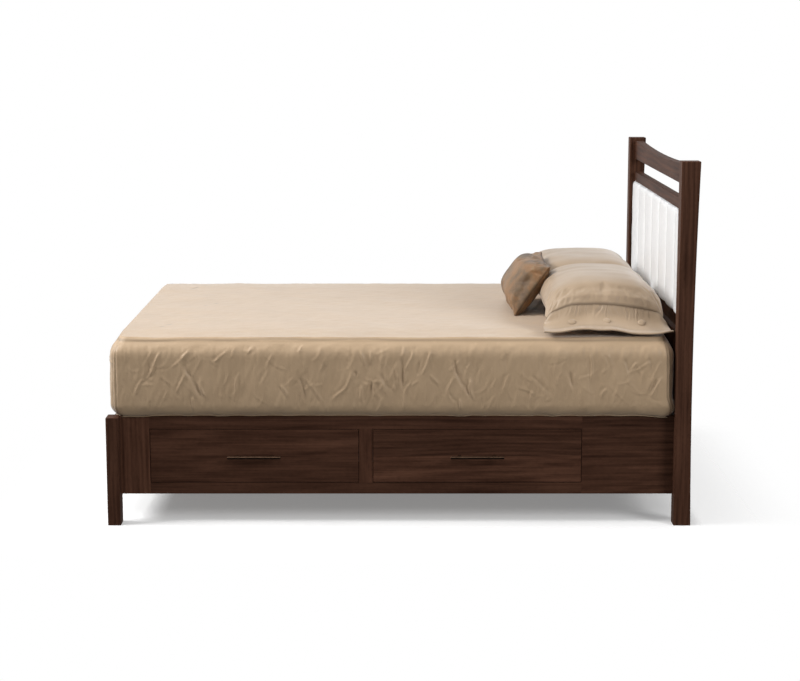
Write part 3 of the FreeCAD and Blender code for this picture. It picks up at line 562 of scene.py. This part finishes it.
def fittedSheet():
    form = sheetForm
    middle, halfX, halfY, bottom, tall, topSizes = sheetSizes()
    topX, topY, topR = topSizes
    heights = np.concatenate([[0, 0.006, 0.014, 0.024, 0.036, 0.05, 0.066, 0.083], np.arange(0.10, 0.875, 0.0142),
                              np.arange(0.882, 0.985, 0.0095), [0.987, 0.992, 0.9965, 1.0]])
    along, across = form.columnsAlong, form.columnsAcross
    rim = flatGrid(topX, topY, along, across)[gridBorder(0, along, across)]
    rings = [sheetRing(rim, topSizes, halfX - inward, halfY - inward, form.corner - inward / 2, bottom + 0.5)
             for inward in (form.hemUnder + 15, form.hemUnder)]  # tucked under, on the rail's top
    rings += wallRings(heights, rim, 0, bottom, tall)
    rings += [sheetRing(rim, topSizes, topX - inward, topY - inward, topR - inward / 2, bottom + tall)
              for inward in (5, 11)]
    wall, count = np.concatenate(rings), len(rim)
    faces = ringFaces(len(rings), count)
    # the top surface is coarser, joined by one ring of wider faces
    third, inner = form.coarse, 22
    grid = flatGrid(topX, topY, along // third, across // third)
    top = sheetRing(grid, topSizes, topX - inner, topY - inner, topR - inner / 2, bottom + tall)
    inside = (np.abs(grid) <= [topX - topR, topY - topR]).any(1)
    top[inside, :2] = grid[inside] * [(topX - inner) / topX, (topY - inner) / topY]
    faces += gridFaces(len(wall), along // third, across // third)
    border = gridBorder(len(wall), along // third, across // third)
    for number, corner in enumerate(border):
        fine = [len(wall) - count + (number * third + extra) % count for extra in range(third + 1)]
        faces.append((*fine, border[(number + 1) % len(border)], corner))
    points = np.concatenate([wall, top]) + [middle.x, middle.y, 0]
    piece = meshPiece("fittedSheet", points * mm, faces, sateen, np.zeros(len(points)))
    normals = formOf(piece)[1]

    # relief: traced creases on the near side, drawn ones elsewhere
    x, y, z = points.T
    flat = np.abs(normals[:, 2]) < 0.75
    nearWall = normals[:, 1] < -0.6
    relief, furrow = np.zeros(len(points)), np.zeros(len(points))
    walls = [(nearWall, x, nearCreases),
             (normals[:, 1] > 0.6, x, randomCreases(5, 105, -1030, 960)),
             (normals[:, 0] < -0.6, y, randomCreases(6, 74, -700, 700)),
             (normals[:, 0] > 0.6, y, randomCreases(7, 60, -700, 700)),
             (nearWall, x, randomCreases(8, 120, -1020, 950, 0.38))]
    for facing, across, creases in walls:
        chosen = np.flatnonzero(facing & flat)
        relief[chosen] += form.creaseHeight * creaseHeight(across[chosen], z[chosen], creases, form.creaseHalfWidth)
    chosen = np.flatnonzero(nearWall & flat)
    furrow[chosen] = np.clip(creaseHeight(x[chosen], z[chosen], nearFurrows, form.furrowHalfWidth), -0.4, 1.0)
    relief -= form.furrowDepth * furrow
    fade = step(z, bottom + 4, bottom + 40) * (1 - step(z, form.seamHeight - 34, form.seamHeight - 8))
    relief *= 0.25 + 0.75 * fade
    leaning = points + np.outer(z, [-0.3, 0, 0])
    relief += fade * (form.waveHeight * softField(points, 150, 21, (0.55, 0.55, 1.9))
                      + 0.30 * softField(leaning, 46, 22, (0.6, 0.6, 1.8))
                      + 0.34 * softField(points, 40, 27, (0.5, 0.5, 2.4)))
    fromSeam = z - form.seamHeight - 1.2 * softField(points, 260, 23)
    groove = bell(fromSeam, form.seamWidth) * (z < form.seamHeight + 9)
    relief += form.seamPuff * bell(fromSeam + 16, 9.5) + 0.5 * bell(fromSeam - 8, 4.5) - form.seamDepth * groove
    # two stitched darts down each corner
    cornerX = np.maximum(np.abs(x - middle.x) - (halfX - form.corner), 0)
    cornerY = np.maximum(np.abs(y - middle.y) - (halfY - form.corner), 0)
    turned = np.degrees(np.arctan2(cornerX, np.maximum(cornerY, 1e-6)))
    inCorner = (cornerX > 0) & (cornerY > 0) & (z < bottom + tall - 4)
    darts = inCorner * (bell(turned - 22, 3.2) + 0.8 * bell(turned - 40, 3.2))
    relief += form.dartPuff * inCorner * (bell(turned - 31, 5) + bell(turned - 12, 5))
    relief -= form.dartDepth * darts * step(z, bottom, bottom + 60)
    onTop = step(z, bottom + tall - 3, bottom + tall - 0.5)
    relief += onTop * (0.6 * form.topWave * (softField(points, 240, 24) - 0.7) + 0.35 * softField(points, 55, 25))
    moved = points + normals * relief[:, None]
    # the hem dips over the rail towards both ends
    hem = (1 - step(z, bottom, bottom + 26)) * (np.abs(y) > 752)
    dip = form.hemDips[0] * (1 - step(x, -985, -880)) + form.hemDips[1] * step(x, 860, 960)
    dip += 1.1 * softField(points, 90, 26)
    moved[:, 2] -= hem * np.clip(dip, -0.4, 8)
    # the head end hangs square to the rail
    squared = (1 - step(z, bottom + 10, bottom + 80)) * step(x, middle.x + halfX - 90, middle.x + halfX - 40)
    moved[:, 0] += form.headSquare * squared
    # painted shade: the seam groove, the darts, the foot of the walls and the furrows are darkened
    wearAndShade = 1 - step(z, bottom + 8, bottom + 80)
    shades = zip(form.shades, (groove, darts, wearAndShade, np.clip(furrow, 0, 1)))
    setShade(piece, np.clip(sum(share * layer for share, layer in shades), 0, 1))
    setPoints(piece, crowned(moved, bottom, tall) * mm)
    return piece


topDents = [  # place, length, width and turn of the deepest pinches
    (-0.889, 0.528, 0.120, 0.017, 1.26), (-0.844, 0.654, 0.090, 0.016, 1.12), (-0.895, -0.53, 0.038, 0.016, 0.87),
    (-0.875, -0.478, 0.055, 0.016, 1.03), (-0.787, 0.013, 0.024, 0.018, 0), (-0.75, 0.077, 0.028, 0.016, 0.92),
    (-0.61, 0.496, 0.030, 0.016, 0.93)]
sateen = cloth("sand sateen", ((0.505, 0.355, 0.218), (0.54, 0.383, 0.238)), 0.0011, 0.46, 0.5, 0.06, 0.09, topDents)
sheet = fittedSheet()
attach(sheet, "bed_frame")
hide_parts("fitted_sheet")
print("fitted sheet made:", len(sheet.data.polygons), "faces")


# The mattress inside the sheet
mattressForm = Form(lift=1.0, tall=289.0, inset=10.0, alongX=128, alongY=96,
                    rings=(0, 0.03, 0.07, 0.12, 0.3, 0.5, 0.7, 0.78, 0.85, 0.9, 0.94, 0.97, 0.99, 1.0))


def mattressBody():
    form = mattressForm
    middle, _, _, low, _, topSizes = sheetSizes()
    bottom, tall = low + form.lift, form.tall
    rim = flatGrid(*topSizes[:2], form.alongX, form.alongY)[gridBorder(0, form.alongX, form.alongY)]
    rings = wallRings(form.rings, rim, form.inset, bottom, tall)
    points = crowned(np.concatenate(rings) + [middle.x, middle.y, 0], bottom, tall)
    faces = ringFaces(len(rings), len(rim))
    faces += [tuple(range(len(rim)))[::-1], tuple(range(len(points) - len(rim), len(points)))]
    return meshPiece("mattressBody", points * mm, faces, ticking)


def quilted(name, colour, diamond):
    material, shader, place = newMaterial(name)
    turned = mapped(place, turn=(0, 0, math.pi / 4))
    puff = times(*(calc("POWER", wave(turned, diamond, bands_direction=way), 0.35) for way in "XY"))
    weave = noise(place, 1400.0)
    # painted shade: the stitched hollows between the puffs are darker
    surface(shader, colour, times(spread(puff, 0.82, 1.0), spread(weave, 0.93, 1.05)), spread(weave, 0.7, 0.85),
            scaled(weave, 0.03, puff), 0.004)
    return material


ticking = quilted("quilted ticking", (0.72, 0.70, 0.65), 0.062)
mattress = mattressBody()
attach(mattress, "bed_frame")
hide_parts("mattress")
print("mattress made")


# A closed grid: an upper and a lower face that share their seam
def closedGrid(countA, countS, bunch):
    def spaced(count):
        t = np.linspace(-1, 1, count + 1)
        return bunch * np.sin(t * math.pi / 2) + (1 - bunch) * t

    gridA, gridS = np.meshgrid(spaced(countA), spaced(countS), indexing="ij")
    inner = np.zeros(gridA.shape, bool)
    inner[1:-1, 1:-1] = True
    lower = np.arange(inner.size)
    lower[inner.ravel()] = inner.size + np.arange(inner.sum())
    lower = lower.tolist()
    a, s = (np.concatenate([grid.ravel(), grid[inner]]) for grid in (gridA, gridS))
    face = np.concatenate([inner.ravel().astype(int), -np.ones(inner.sum(), int)])
    quads = []
    for first, second, third, fourth in gridFaces(0, countS, countA):
        quads += [(first, fourth, third, second), (lower[first], lower[second], lower[third], lower[fourth])]
    return a, s, face, quads


def dome(value, power, root):
    return np.maximum(1 - np.abs(value) ** power, 0) ** root


def inflate(piece, spec, pinned):
    # a short cloth simulation: pressure fills the case and its spare cloth buckles
    before = readRows(piece.data.vertices, "co")
    cloth = piece.modifiers.new("cloth", "CLOTH")
    settings = cloth.settings
    settings.quality = 4
    settings.mass = 0.3
    settings.use_pressure = True
    settings.uniform_pressure_force = spec.pressure
    settings.tension_stiffness = settings.compression_stiffness = spec.stiffness
    settings.shear_stiffness = 4
    settings.bending_stiffness = spec.bending
    settings.shrink_min = -spec.spareCloth
    settings.effector_weights.gravity = 0
    cloth.collision_settings.use_collision = False
    group = piece.vertex_groups.new(name="pinned")
    for weight in (0.35, 1.0):
        group.add(np.flatnonzero(pinned >= weight).tolist(), weight, "REPLACE")
    settings.vertex_group_mass = "pinned"
    cloth.point_cache.frame_end = 24
    for frameNumber in range(1, 21):
        scene.frame_set(frameNumber)
    settled = piece.evaluated_get(bpy.context.evaluated_depsgraph_get())
    moved = readRows(settled.data.vertices, "co") - before
    length = np.linalg.norm(moved, axis=1)
    share = np.minimum(1, spec.mostMove * mm / np.maximum(length, 1e-9))
    piece.modifiers.clear()
    piece.vertex_groups.clear()
    setPoints(piece, before + moved * share[:, None])
    scene.frame_set(1)
    print(piece.name, "inflated, largest move", round(float(length.max()) * 1000, 1), "mm")


# The headboard's pad: seven crowned channels between sewn seams
padForm = Form(
    channels=7, pitch=213.0, seamThickness=13.0, crownThickness=22.0,
    seamWidth=2.6, seamDepth=2.5, topRoll=24.0, bottomRoll=16.0, endRoll=10.0, pucker=0.35,
)


def headboardPad():
    form = padForm
    low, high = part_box("headboard_upholstery")
    lowZ, highZ, halfY, back = low.z * 1000, high.z * 1000, high.y * 1000, high.x * 1000
    a, s, face, faces = closedGrid(84, 560, 0.0)
    y, z = s * (halfY - 0.4), (lowZ + highZ) / 2 + a * ((highZ - lowZ) / 2 - 0.4)
    # the two outermost channels end at the posts, a little before their seam
    fromSeam = (y / form.pitch + form.channels / 2) % 1
    seamGap = np.minimum(fromSeam, 1 - fromSeam) * form.pitch
    seam = bell(seamGap, form.seamWidth)
    crown = (form.crownThickness - form.seamThickness) * dome(fromSeam * 2 - 1, 2.6, 0.62)
    roll = 1.0
    for gap, radius, least in ((highZ - z, form.topRoll, 0.45), (z - lowZ, form.bottomRoll, 0.62),
                               (halfY - np.abs(y), form.endRoll, 0.62)):
        roll = roll * (least + (1 - least) * np.sqrt(1 - (1 - np.clip(gap / radius, 0, 1)) ** 2))
    place = np.stack([np.zeros_like(y), y, z], 1)
    pull = form.pucker * bell(seamGap, 16) * softField(place, 26, 31, (1, 1.6, 0.55)) + 0.3 * softField(place, 120, 32)
    depth = (form.seamThickness + crown - form.seamDepth * seam) * roll + pull * (roll > 0.9)
    depth = np.clip(depth, 1, form.crownThickness + 0.4)
    x = back - np.choose(face + 1, [0.3, 5.0, depth])  # below, on the seam and above
    # painted shade along the sewn seams
    return meshPiece("headboardPad", np.stack([x, y, z], 1) * mm, faces, whiteCloth, np.where(face > 0, seam * 0.8, 0))


whiteCloth = cloth("white upholstery", ((0.95, 0.965, 0.98), (0.96, 0.975, 0.99)), 0.0013, 0.38, 0.6, 0.02, 0.2)
pad = headboardPad()
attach(pad, "bed_frame")
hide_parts("headboard_upholstery")
print("headboard pad made")

# The shams: pillows in a case that closes with a buttoned flap at the bed's edge
shamForm = Form(
    middleX=759.0, halfX=225.0, outerEnd=636.0, innerEnd=8.0,
    rest=702.6, restShare=0.80, seam=786.0, pull=0.035, cornerDraw=0.035,
    near=Form(height=190.0, lean=-0.05, square=3.15, touch=(-275, -110)),
    far=Form(height=179.0, lean=0.0, square=3.9, touch=(-225, -60)),
    pressure=4.0, stiffness=12.0, bending=0.6, spareCloth=0.012, mostMove=5.0,
    endSeam=[(534, 733), (556, 769), (593, 786), (630, 801), (685, 803), (741, 804), (797, 801),
                (852, 793), (908, 784), (964, 770), (985, 738)],
    hem=[(528, 717), (557, 714.5), (587, 716.5), (623, 722.5), (660, 726), (697, 726.5), (733, 723), (777, 724),
            (806, 720.5), (843, 712.5), (880, 708), (916, 708), (953, 710.5), (982, 716.5), (1001, 718.5)],
    press=17.0, flapReach=112.0, flapThickness=3.6, flapBow=0.10,
    buttons=[(634, 742), (762, 745), (892, 737)], buttonRadius=14.0, buttonHeight=3.2,
    buttonProfile=[(0.0, 1.0), (0.3, 0.97), (0.55, 0.86), (0.76, 0.66), (0.9, 0.42), (0.98, 0.22), (1.0, 0.08),
                   (0.93, -0.05), (0.85, -0.2)],  # shares of the radius and of the height
)


def along(table, x):
    return np.interp(x, *zip(*table))


def smoothAlong(table, x, reach=14):
    return sum(along(table, x + shift) for shift in np.linspace(-reach, reach, 7)) / 7


def shamBody(side):
    form, own, sign = shamForm, shamForm[side], signs[side]
    a, s, face, faces = closedGrid(116, 150, 0.55)
    rest, lean = form.rest, own.lean
    middleY, halfY = (form.outerEnd + form.innerEnd) / 2, (form.outerEnd - form.innerEnd) / 2
    corner = np.abs(a * s) ** 9
    x = form.middleX + form.halfX * a * (1 - form.pull * (1 - s ** 2)) * (1 - form.cornerDraw * corner)
    ends = (1 - form.pull * 0.5 * (1 - a ** 2)) * (1 - form.cornerDraw * 0.6 * corner)
    out = middleY + halfY * s * np.where(s > 0, 1 - 0.02 * corner, ends)
    nearEnd = step(s, 0.80, 1.0)
    seamZ = form.seam * (1 - nearEnd) + smoothAlong(form.endSeam, x) * nearEnd
    seamZ -= 26 * step(-s, 0.86, 1.0) * np.abs(a) ** 4
    leaned = (a + lean) / np.where(a < -lean, 1 - lean, 1 + lean)
    upper = seamZ + (rest + own.height - seamZ) * dome(leaned, own.square, 0.66) * dome(s, 4.6, 0.62)
    under = np.minimum(dome(a, 3.2, 0.75) * dome(s, 5.0, 0.7) / form.restShare, 1)
    z = np.choose(face + 1, [seamZ - (seamZ - rest) * under, seamZ, upper])
    # the little cushion presses into the side it leans on
    x = x + form.press * bell(z - 786, 62) * step(-x, -640, -520) * step(-out, *own.touch)
    piece = meshPiece(side + "Sham", np.stack([x, sign * out, z], 1) * mm,
                      faces if sign > 0 else [quad[::-1] for quad in faces], shamCloth, np.zeros(len(x)))
    pinned = np.where((face == 0) & (s > 0.999), 1.0, 0.0)
    inflate(piece, form, np.maximum(pinned, np.where((face < 0) & (z < rest + 2), 0.35, 0.0)))
    points, normals = formOf(piece)
    # folds that the simulation is too short to find
    folds = step(s, 0.62, 0.98) * shamFolds[side](points[:, 0], s)
    folds = folds + softField(points, 95, 41 + sign, (1.5, 1, 1)) * step(1 - np.abs(s), 0.02, 0.3)
    rim = bell(1 - np.maximum(np.abs(a), np.abs(s)), 0.09)
    relief = folds * (face > 0) + 0.7 * rim * (1 - rim) * 4 * softField(points, 34, 43 + sign, (0.8, 0.8, 2.2))
    points = points + normals * relief[:, None]
    points[:, 2] = np.maximum(points[:, 2], rest - 0.4)
    # painted shade along the case's seam, darkest at the outer end
    setShade(piece, (face == 0) * (0.6 + 0.4 * (s > 0.99)))
    setPoints(piece, points * mm)
    return piece


def nearFolds(x, s):
    middle = step(x, 560, 640) * (1 - step(x, 880, 960))
    hollow = -5.0 * bell(s - 0.885 + 0.03 * np.sin((x - 600) / 90), 0.042) * middle
    tucks = 1.8 * np.sin((x + 260 * (s - 0.8)) / 9.5) * bell(x - 575, 34) * bell(s - 0.9, 0.07)
    return hollow + 2.4 * bell(s - 0.955, 0.02) * middle + tucks


def farFolds(x, s):
    return 3.0 * bell(s - 0.86 + 0.04 * np.sin(x / 80), 0.04) - 3.0 * bell(s - 0.93, 0.025)


shamFolds = {"near": nearFolds, "far": farFolds}


def flapOut(v):
    # how far out the flap lies, and how steeply, at the share v of its depth
    reach = shamForm.flapReach
    return shamForm.outerEnd - 1.5 + reach * (0.36 * v + 0.64 * v ** 4), reach * (0.36 + 2.56 * v ** 3) / 80


def shamFlap(side):
    form, sign, seam, hem = shamForm, signs[side], shamForm.endSeam, shamForm.hem
    countU, countV = 300, 30
    u, v = np.meshgrid(np.linspace(0, 1, countU + 1), np.linspace(0, 1, countV + 1), indexing="ij")
    u, v = u.ravel(), v.ravel()
    topX, lowX = (table[0][0] + (table[-1][0] - table[0][0]) * u for table in (seam, hem))
    topZ, lowZ = smoothAlong(seam, topX, 8), smoothAlong(hem, lowX)
    x = topX + (lowX - topX) * v ** 1.3
    z = topZ + (lowZ - topZ) * (v + form.flapBow * np.sin(v * math.pi)) - 0.5
    out, slope = flapOut(v)
    place, lip, nothing = np.stack([x, out, z], 1), step(v, 0.84, 1.0), np.zeros_like(x)
    # gathers below the seam, between the buttons
    gather = bell(x - 742, 34) + bell(x - 862, 34) + 0.5 * bell(x - 655, 26) + 0.3
    swing = x + 5 * np.sin(v * 4 + x / 60) + 4 * softField(np.stack([x, nothing, z], 1), 60, 51)
    relief = 1.3 * gather * 0.6 * (np.sin(swing / 2.05) + np.sin(swing / 3.1 + 1)) * bell(v - 0.16, 0.26)
    relief += 2.2 * softField(place, 120, 52, (1, 1, 2)) * step(v, 0.1, 0.5) * (1 - 0.6 * lip) - 1.0 * bell(v, 0.05)
    relief += 2.0 * lip - 1.3 * bell(v - 0.845, 0.02)  # the hem is turned under
    lift = np.stack([nothing, nothing + 1, slope], 1)
    lift /= np.linalg.norm(lift, axis=1)[:, None]
    outerFace = place + lift * relief[:, None]
    innerFace = outerFace - lift * (form.flapThickness * (1 + 0.5 * lip))[:, None]
    outerFace[:, 2] = np.maximum(outerFace[:, 2], form.rest + 1.5)
    innerFace[:, 2] = np.maximum(innerFace[:, 2], form.rest)
    points, back, faces = np.concatenate([outerFace, innerFace]) * [1, sign, 1], len(x), []
    for quad in gridFaces(0, countV, countU):
        faces += [quad, tuple(corner + back for corner in quad[::-1])]
    border = gridBorder(0, countV, countU)[::-1]
    faces += [(one, other, other + back, one + back) for one, other in zip(border, border[1:] + border[:1])]
    if sign > 0:
        faces = [face[::-1] for face in faces]
    # painted shade under the seam at the flap's top and along the turned hem
    shade = 0.75 * bell(v, 0.05) + 0.35 * bell(v - 0.845, 0.016)
    return meshPiece(side + "ShamFlap", points * mm, faces, shamCloth, np.tile(shade, 2))


def shamButtons(side):
    form, sign = shamForm, signs[side]
    points, faces, shade = [], [], []
    profile, turns = form.buttonProfile, 36
    for x, z in form.buttons:
        topZ, lowZ = float(along(form.endSeam, x)), float(along(form.hem, x))
        v = (topZ - z) / (topZ - lowZ)
        for _ in range(3):  # the flap bows out, so its middle lies lower than v says
            v = (topZ - z) / (topZ - lowZ) - form.flapBow * math.sin(v * math.pi)
        out, slope = flapOut(v)
        facing, sideways = Vector((0, sign, slope)).normalized(), Vector((1, 0, 0))
        upward = facing.cross(sideways) * sign
        centre, first = Vector((x, sign * out, z)) + facing, len(points)
        for share, rise in profile:
            for turn in range(turns):
                angle = 2 * math.pi * turn / turns
                spot = centre + (sideways * math.cos(angle) + upward * math.sin(angle)) * form.buttonRadius * share
                points.append((spot + facing * form.buttonHeight * rise) * mm)
                # painted shade under the buttons' rims
                shade.append(0.7 if share < 0.95 and rise < 0.1 else 0.0)
        faces += [quad[::-1] for quad in ringFaces(len(profile), turns, first)]
        faces.append(tuple(range(len(points) - turns, len(points))))
    return meshPiece(side + "ShamButtons", points, faces, shamCloth, shade)


shamCloth = cloth("greige sham cotton", ((0.39, 0.28, 0.18), (0.45, 0.33, 0.22)), 0.0009, 0.42, 0.38, 0.05, 0.12)
for side in signs:
    body, flap, buttons = shamBody(side), shamFlap(side), shamButtons(side)
    for piece in (body, flap, buttons):
        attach(piece, "bed_frame")
        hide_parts("sham_" + side)
print("shams made")

# The small cushion that leans on the shams
cushionForm = Form(
    lowEdge=(450.0, 703.5), topEdge=(585.0, 894.0), length=(-270.0, 212.0), lowest=702.4,
    frontBulge=88.0, backBulge=38.0, pull=0.06,
    pressure=4.0, stiffness=12.0, bending=0.8, spareCloth=0.025, mostMove=5.0,
)


def leaningCushion():
    form = cushionForm
    a, s, face, faces = closedGrid(84, 132, 0.6)
    low, top = np.array(form.lowEdge), np.array(form.topEdge)
    half, middleY = np.linalg.norm(top - low) / 2, sum(form.length) / 2
    way = (top - low) / (2 * half)
    front = np.array([-way[1], way[0]])
    corner = np.abs(a * s) ** 8
    chord = half * a * (1 - form.pull * (1 - s ** 2)) * (1 + 0.02 * corner)
    halfY = (form.length[1] - form.length[0]) / 2
    y = middleY + halfY * s * (1 - form.pull * (1 - a ** 2)) * (1 + 0.01 * corner)
    bulge = np.choose(face + 1, [-form.backBulge, 0.0, form.frontBulge]) * dome(a, 3.4, 0.62) * dome(s, 3.6, 0.6)
    plan = (low + top) / 2 + chord[:, None] * way + bulge[:, None] * front
    # painted shade along the cushion's seam
    piece = meshPiece("leaningCushion", np.stack([plan[:, 0], y, plan[:, 1]], 1) * mm, faces, cushionWeave, face == 0)
    inflate(piece, form, np.where(face == 0, 0.35, 0.0))
    points, normals = formOf(piece)
    fromRim = 1 - np.maximum(np.abs(a), np.abs(s))
    relief = 1.6 * bell(fromRim - 0.10, 0.08) * softField(points, 40, 61, (1, 1, 1.4))
    relief += 1.2 * softField(points, 120, 62)
    points += normals * relief[:, None]
    points[:, 2] = np.maximum(points[:, 2], form.lowest)
    setPoints(piece, points * mm)
    return piece


def mottledWeave(name):
    material, shader, place = newMaterial(name)
    colour = ramp(noise(place, 11.0, 5.0, 0.62), [
        (0.32, (0.105, 0.064, 0.036)), (0.44, (0.185, 0.112, 0.056)), (0.52, (0.265, 0.142, 0.060)),
        (0.60, (0.30, 0.156, 0.066)), (0.70, (0.33, 0.225, 0.12))])
    colour = blended(spread(noise(place, 24.0, 4.0), 0, 0.45, 0.5, 0.66), colour, (0.19, 0.138, 0.08))
    weave, slub = threads(place, 0.0016, 0.6), noise(place, 700.0)
    # painted shade along the seams
    light = shaded(scaled(slub, 0.45, 0.72), paintedShade(place), -0.5)
    surface(shader, colour, light, spread(slub, 0.5, 0.68), scaled(slub, 0.8, weave), 0.0005,
            Sheen_Weight=0.18, Sheen_Roughness=0.4)
    return material


cushionWeave = mottledWeave("mottled cushion weave")
cushion = leaningCushion()
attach(cushion, "bed_frame")
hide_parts("accent_cushion")
print("cushion made")

# Slim wooden guides beside the drawers, below the slides, which close the view through the gaps
guideForm = Form(starts=(-923.0, -101.0), opening=772.0, thick=11.0, deep=(712.0, 726.0), height=(134.0, 223.0),
                 cornerEase=0.35)


def guideStrips(side):
    form, (low, high), (inner, outer), turns = guideForm, guideForm.height, guideForm.deep, 24
    half, middleY, halfY = form.thick / 2, signs[side] * (inner + outer) / 2, signs[side] * (outer - inner) / 2
    points, faces = [], []
    rows = [(low, 2.0), (low + 0.6, 0.8), (low + 2.0, 0.0), (high - 2.0, 0.0), (high - 0.6, 0.8), (high, 2.0)]
    angles = np.arange(turns) * 2 * math.pi / turns
    rim = np.stack([np.cos(angles), np.sin(angles)], 1)
    rim = np.sign(rim) * np.abs(rim) ** form.cornerEase  # a rectangle with eased corners
    for start in form.starts:
        for middle in (start + half, start + form.opening - half):
            first = len(points)
            points += [(middle + (half - inset) * a, middleY + (halfY - signs[side] * inset) * b, z)
                       for z, inset in rows for a, b in rim]
            faces += ringFaces(len(rows), turns, first)
            faces += [tuple(range(first, first + turns))[::-1], tuple(range(len(points) - turns, len(points)))]
    if side == "far":
        faces = [face[::-1] for face in faces]
    return meshPiece(side + "GuideStrips", np.array(points) * mm, faces, guideWood)


guideWood = woodMaterial("walnut guide strips", walnut, "z", 90, 0.8)
for side in signs:
    guides = guideStrips(side)
    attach(guides, "bed_frame")
print("drawer guides made")


# Floor, light and camera
studio = Form(
    floorColour=(0.94, 0.94, 0.94), floorBounce=(0.14, 0.137, 0.134), floorGlow=0.23, floorHalf=14.0,
    shadowReach=(1.08, 0.80, 0.0), floorFade=[(0.0, 0.05, 0.55), (0.05, 0.50, 0.45)],  # from, to in metres, share
    zenith=0.46, horizon=0.09, roomBehindCamera=0.22,
)
lamps = {  # size, place, aim and power
    "overhead": ((3.8, 2.4), (-1.5, -1.2, 4.3), (0.0, -0.1, 0.6), 30),
    "left": ((4.4, 3.4), (-7.2, -1.2, 6.2), (0.4, -0.1, 0.8), 760),
    "right": ((2.6, 2.4), (5.6, -5.4, 3.6), (0.5, -0.6, 0.5), 215),
    "front": ((1.1, 0.7), (-0.8, -6.6, 3.5), (0.0, -0.6, 0.4), 22),
}
photoCamera = Form(place=(0.0, -7.477, 1.7995), pitch=-9.41, lens=83.97)


def seenRays(socket):
    path = fresh(socket, "LightPath").outputs
    return path["Is Camera Ray"], calc("MAXIMUM", path["Is Glossy Ray"], path["Is Transmission Ray"])


def makeFloor():
    half = studio.floorHalf
    material, shader, place = newMaterial("studio floor")
    corners = [(-half, -half, 0), (half, -half, 0), (half, half, 0), (-half, half, 0)]
    floor = meshPiece("studioFloor", corners, [(0, 1, 2, 3)], material)
    low = tuple(channel * 0.985 for channel in studio.floorColour)
    camera, shiny = seenRays(place)
    grain = blended(noise(place, 3.0), low, studio.floorColour)
    feed(shader.inputs["Base Color"], blended(camera, studio.floorBounce, grain))
    feed(shader.inputs["Emission Strength"], times(calc("MAXIMUM", camera, shiny), studio.floorGlow))
    for key, value in (("Roughness", 0.8), ("Specular IOR Level", 0.1), ("Emission Color", (1, 1, 1))):
        feed(shader.inputs[key], value)
    # away from the bed the floor gives way to the white behind it
    past = vector("SUBTRACT", vector("ABSOLUTE", place), studio.shadowReach)
    away = vector("LENGTH", vector("MAXIMUM", past, (0, 0, 0))).node.outputs["Value"]
    fade = 0.0
    for start, end, share in studio.floorFade:
        fade = calc("ADD", spread(away, 0.0, share, start, end, "SMOOTHSTEP"), fade)
    clear = fresh(place, "BsdfTransparent").outputs[0]
    mixed = add("MixShader", [fade, shader.outputs[0], clear])
    feed(material.node_tree.nodes["Material Output"].inputs["Surface"], mixed)


def makeWorld():
    # white where it is seen or mirrored, dimmer in the room behind the camera, soft grey as light
    world = bpy.data.worlds.new("studio")
    scene.world = world
    world.use_nodes = True
    soft = world.node_tree.nodes["Background"]
    feed(soft.inputs["Color"], (1, 1, 1))
    camera, shiny = seenRays(soft.inputs["Color"])
    _, deep, up = parts(fresh(camera, "TexCoord").outputs["Generated"])
    room = spread(deep, studio.roomBehindCamera, 1.0, -0.75, 0.35, "SMOOTHSTEP")
    sky = spread(up, studio.horizon, studio.zenith, -0.15, 0.85, "SMOOTHSTEP")
    strength = scaled(calc("SUBTRACT", room, sky), shiny, sky)
    strength = scaled(calc("SUBTRACT", 1.0, strength), camera, strength)
    feed(soft.inputs["Strength"], strength)


def makeLamp(name, size, place, aim, power):
    lamp = bpy.data.lights.new(name, "AREA")
    lamp.shape = "RECTANGLE"
    lamp.size, lamp.size_y = size
    lamp.energy = power
    holder = bpy.data.objects.new(name, lamp)
    holder.location = place
    holder.rotation_euler = (Vector(aim) - Vector(place)).to_track_quat("-Z", "Y").to_euler()
    scene.collection.objects.link(holder)


makeFloor()
makeWorld()
for lampName, spec in lamps.items():
    makeLamp(lampName + "Lamp", *spec)

camera = bpy.data.objects.new("photoCamera", bpy.data.cameras.new("photoCamera"))
camera.data.lens, camera.data.sensor_width = photoCamera.lens, 36
camera.location = photoCamera.place
camera.rotation_euler = (math.radians(90 + photoCamera.pitch), 0, 0)
scene.collection.objects.link(camera)
scene.camera = camera
scene.view_settings.view_transform = "Standard"
print("floor, light and camera set")
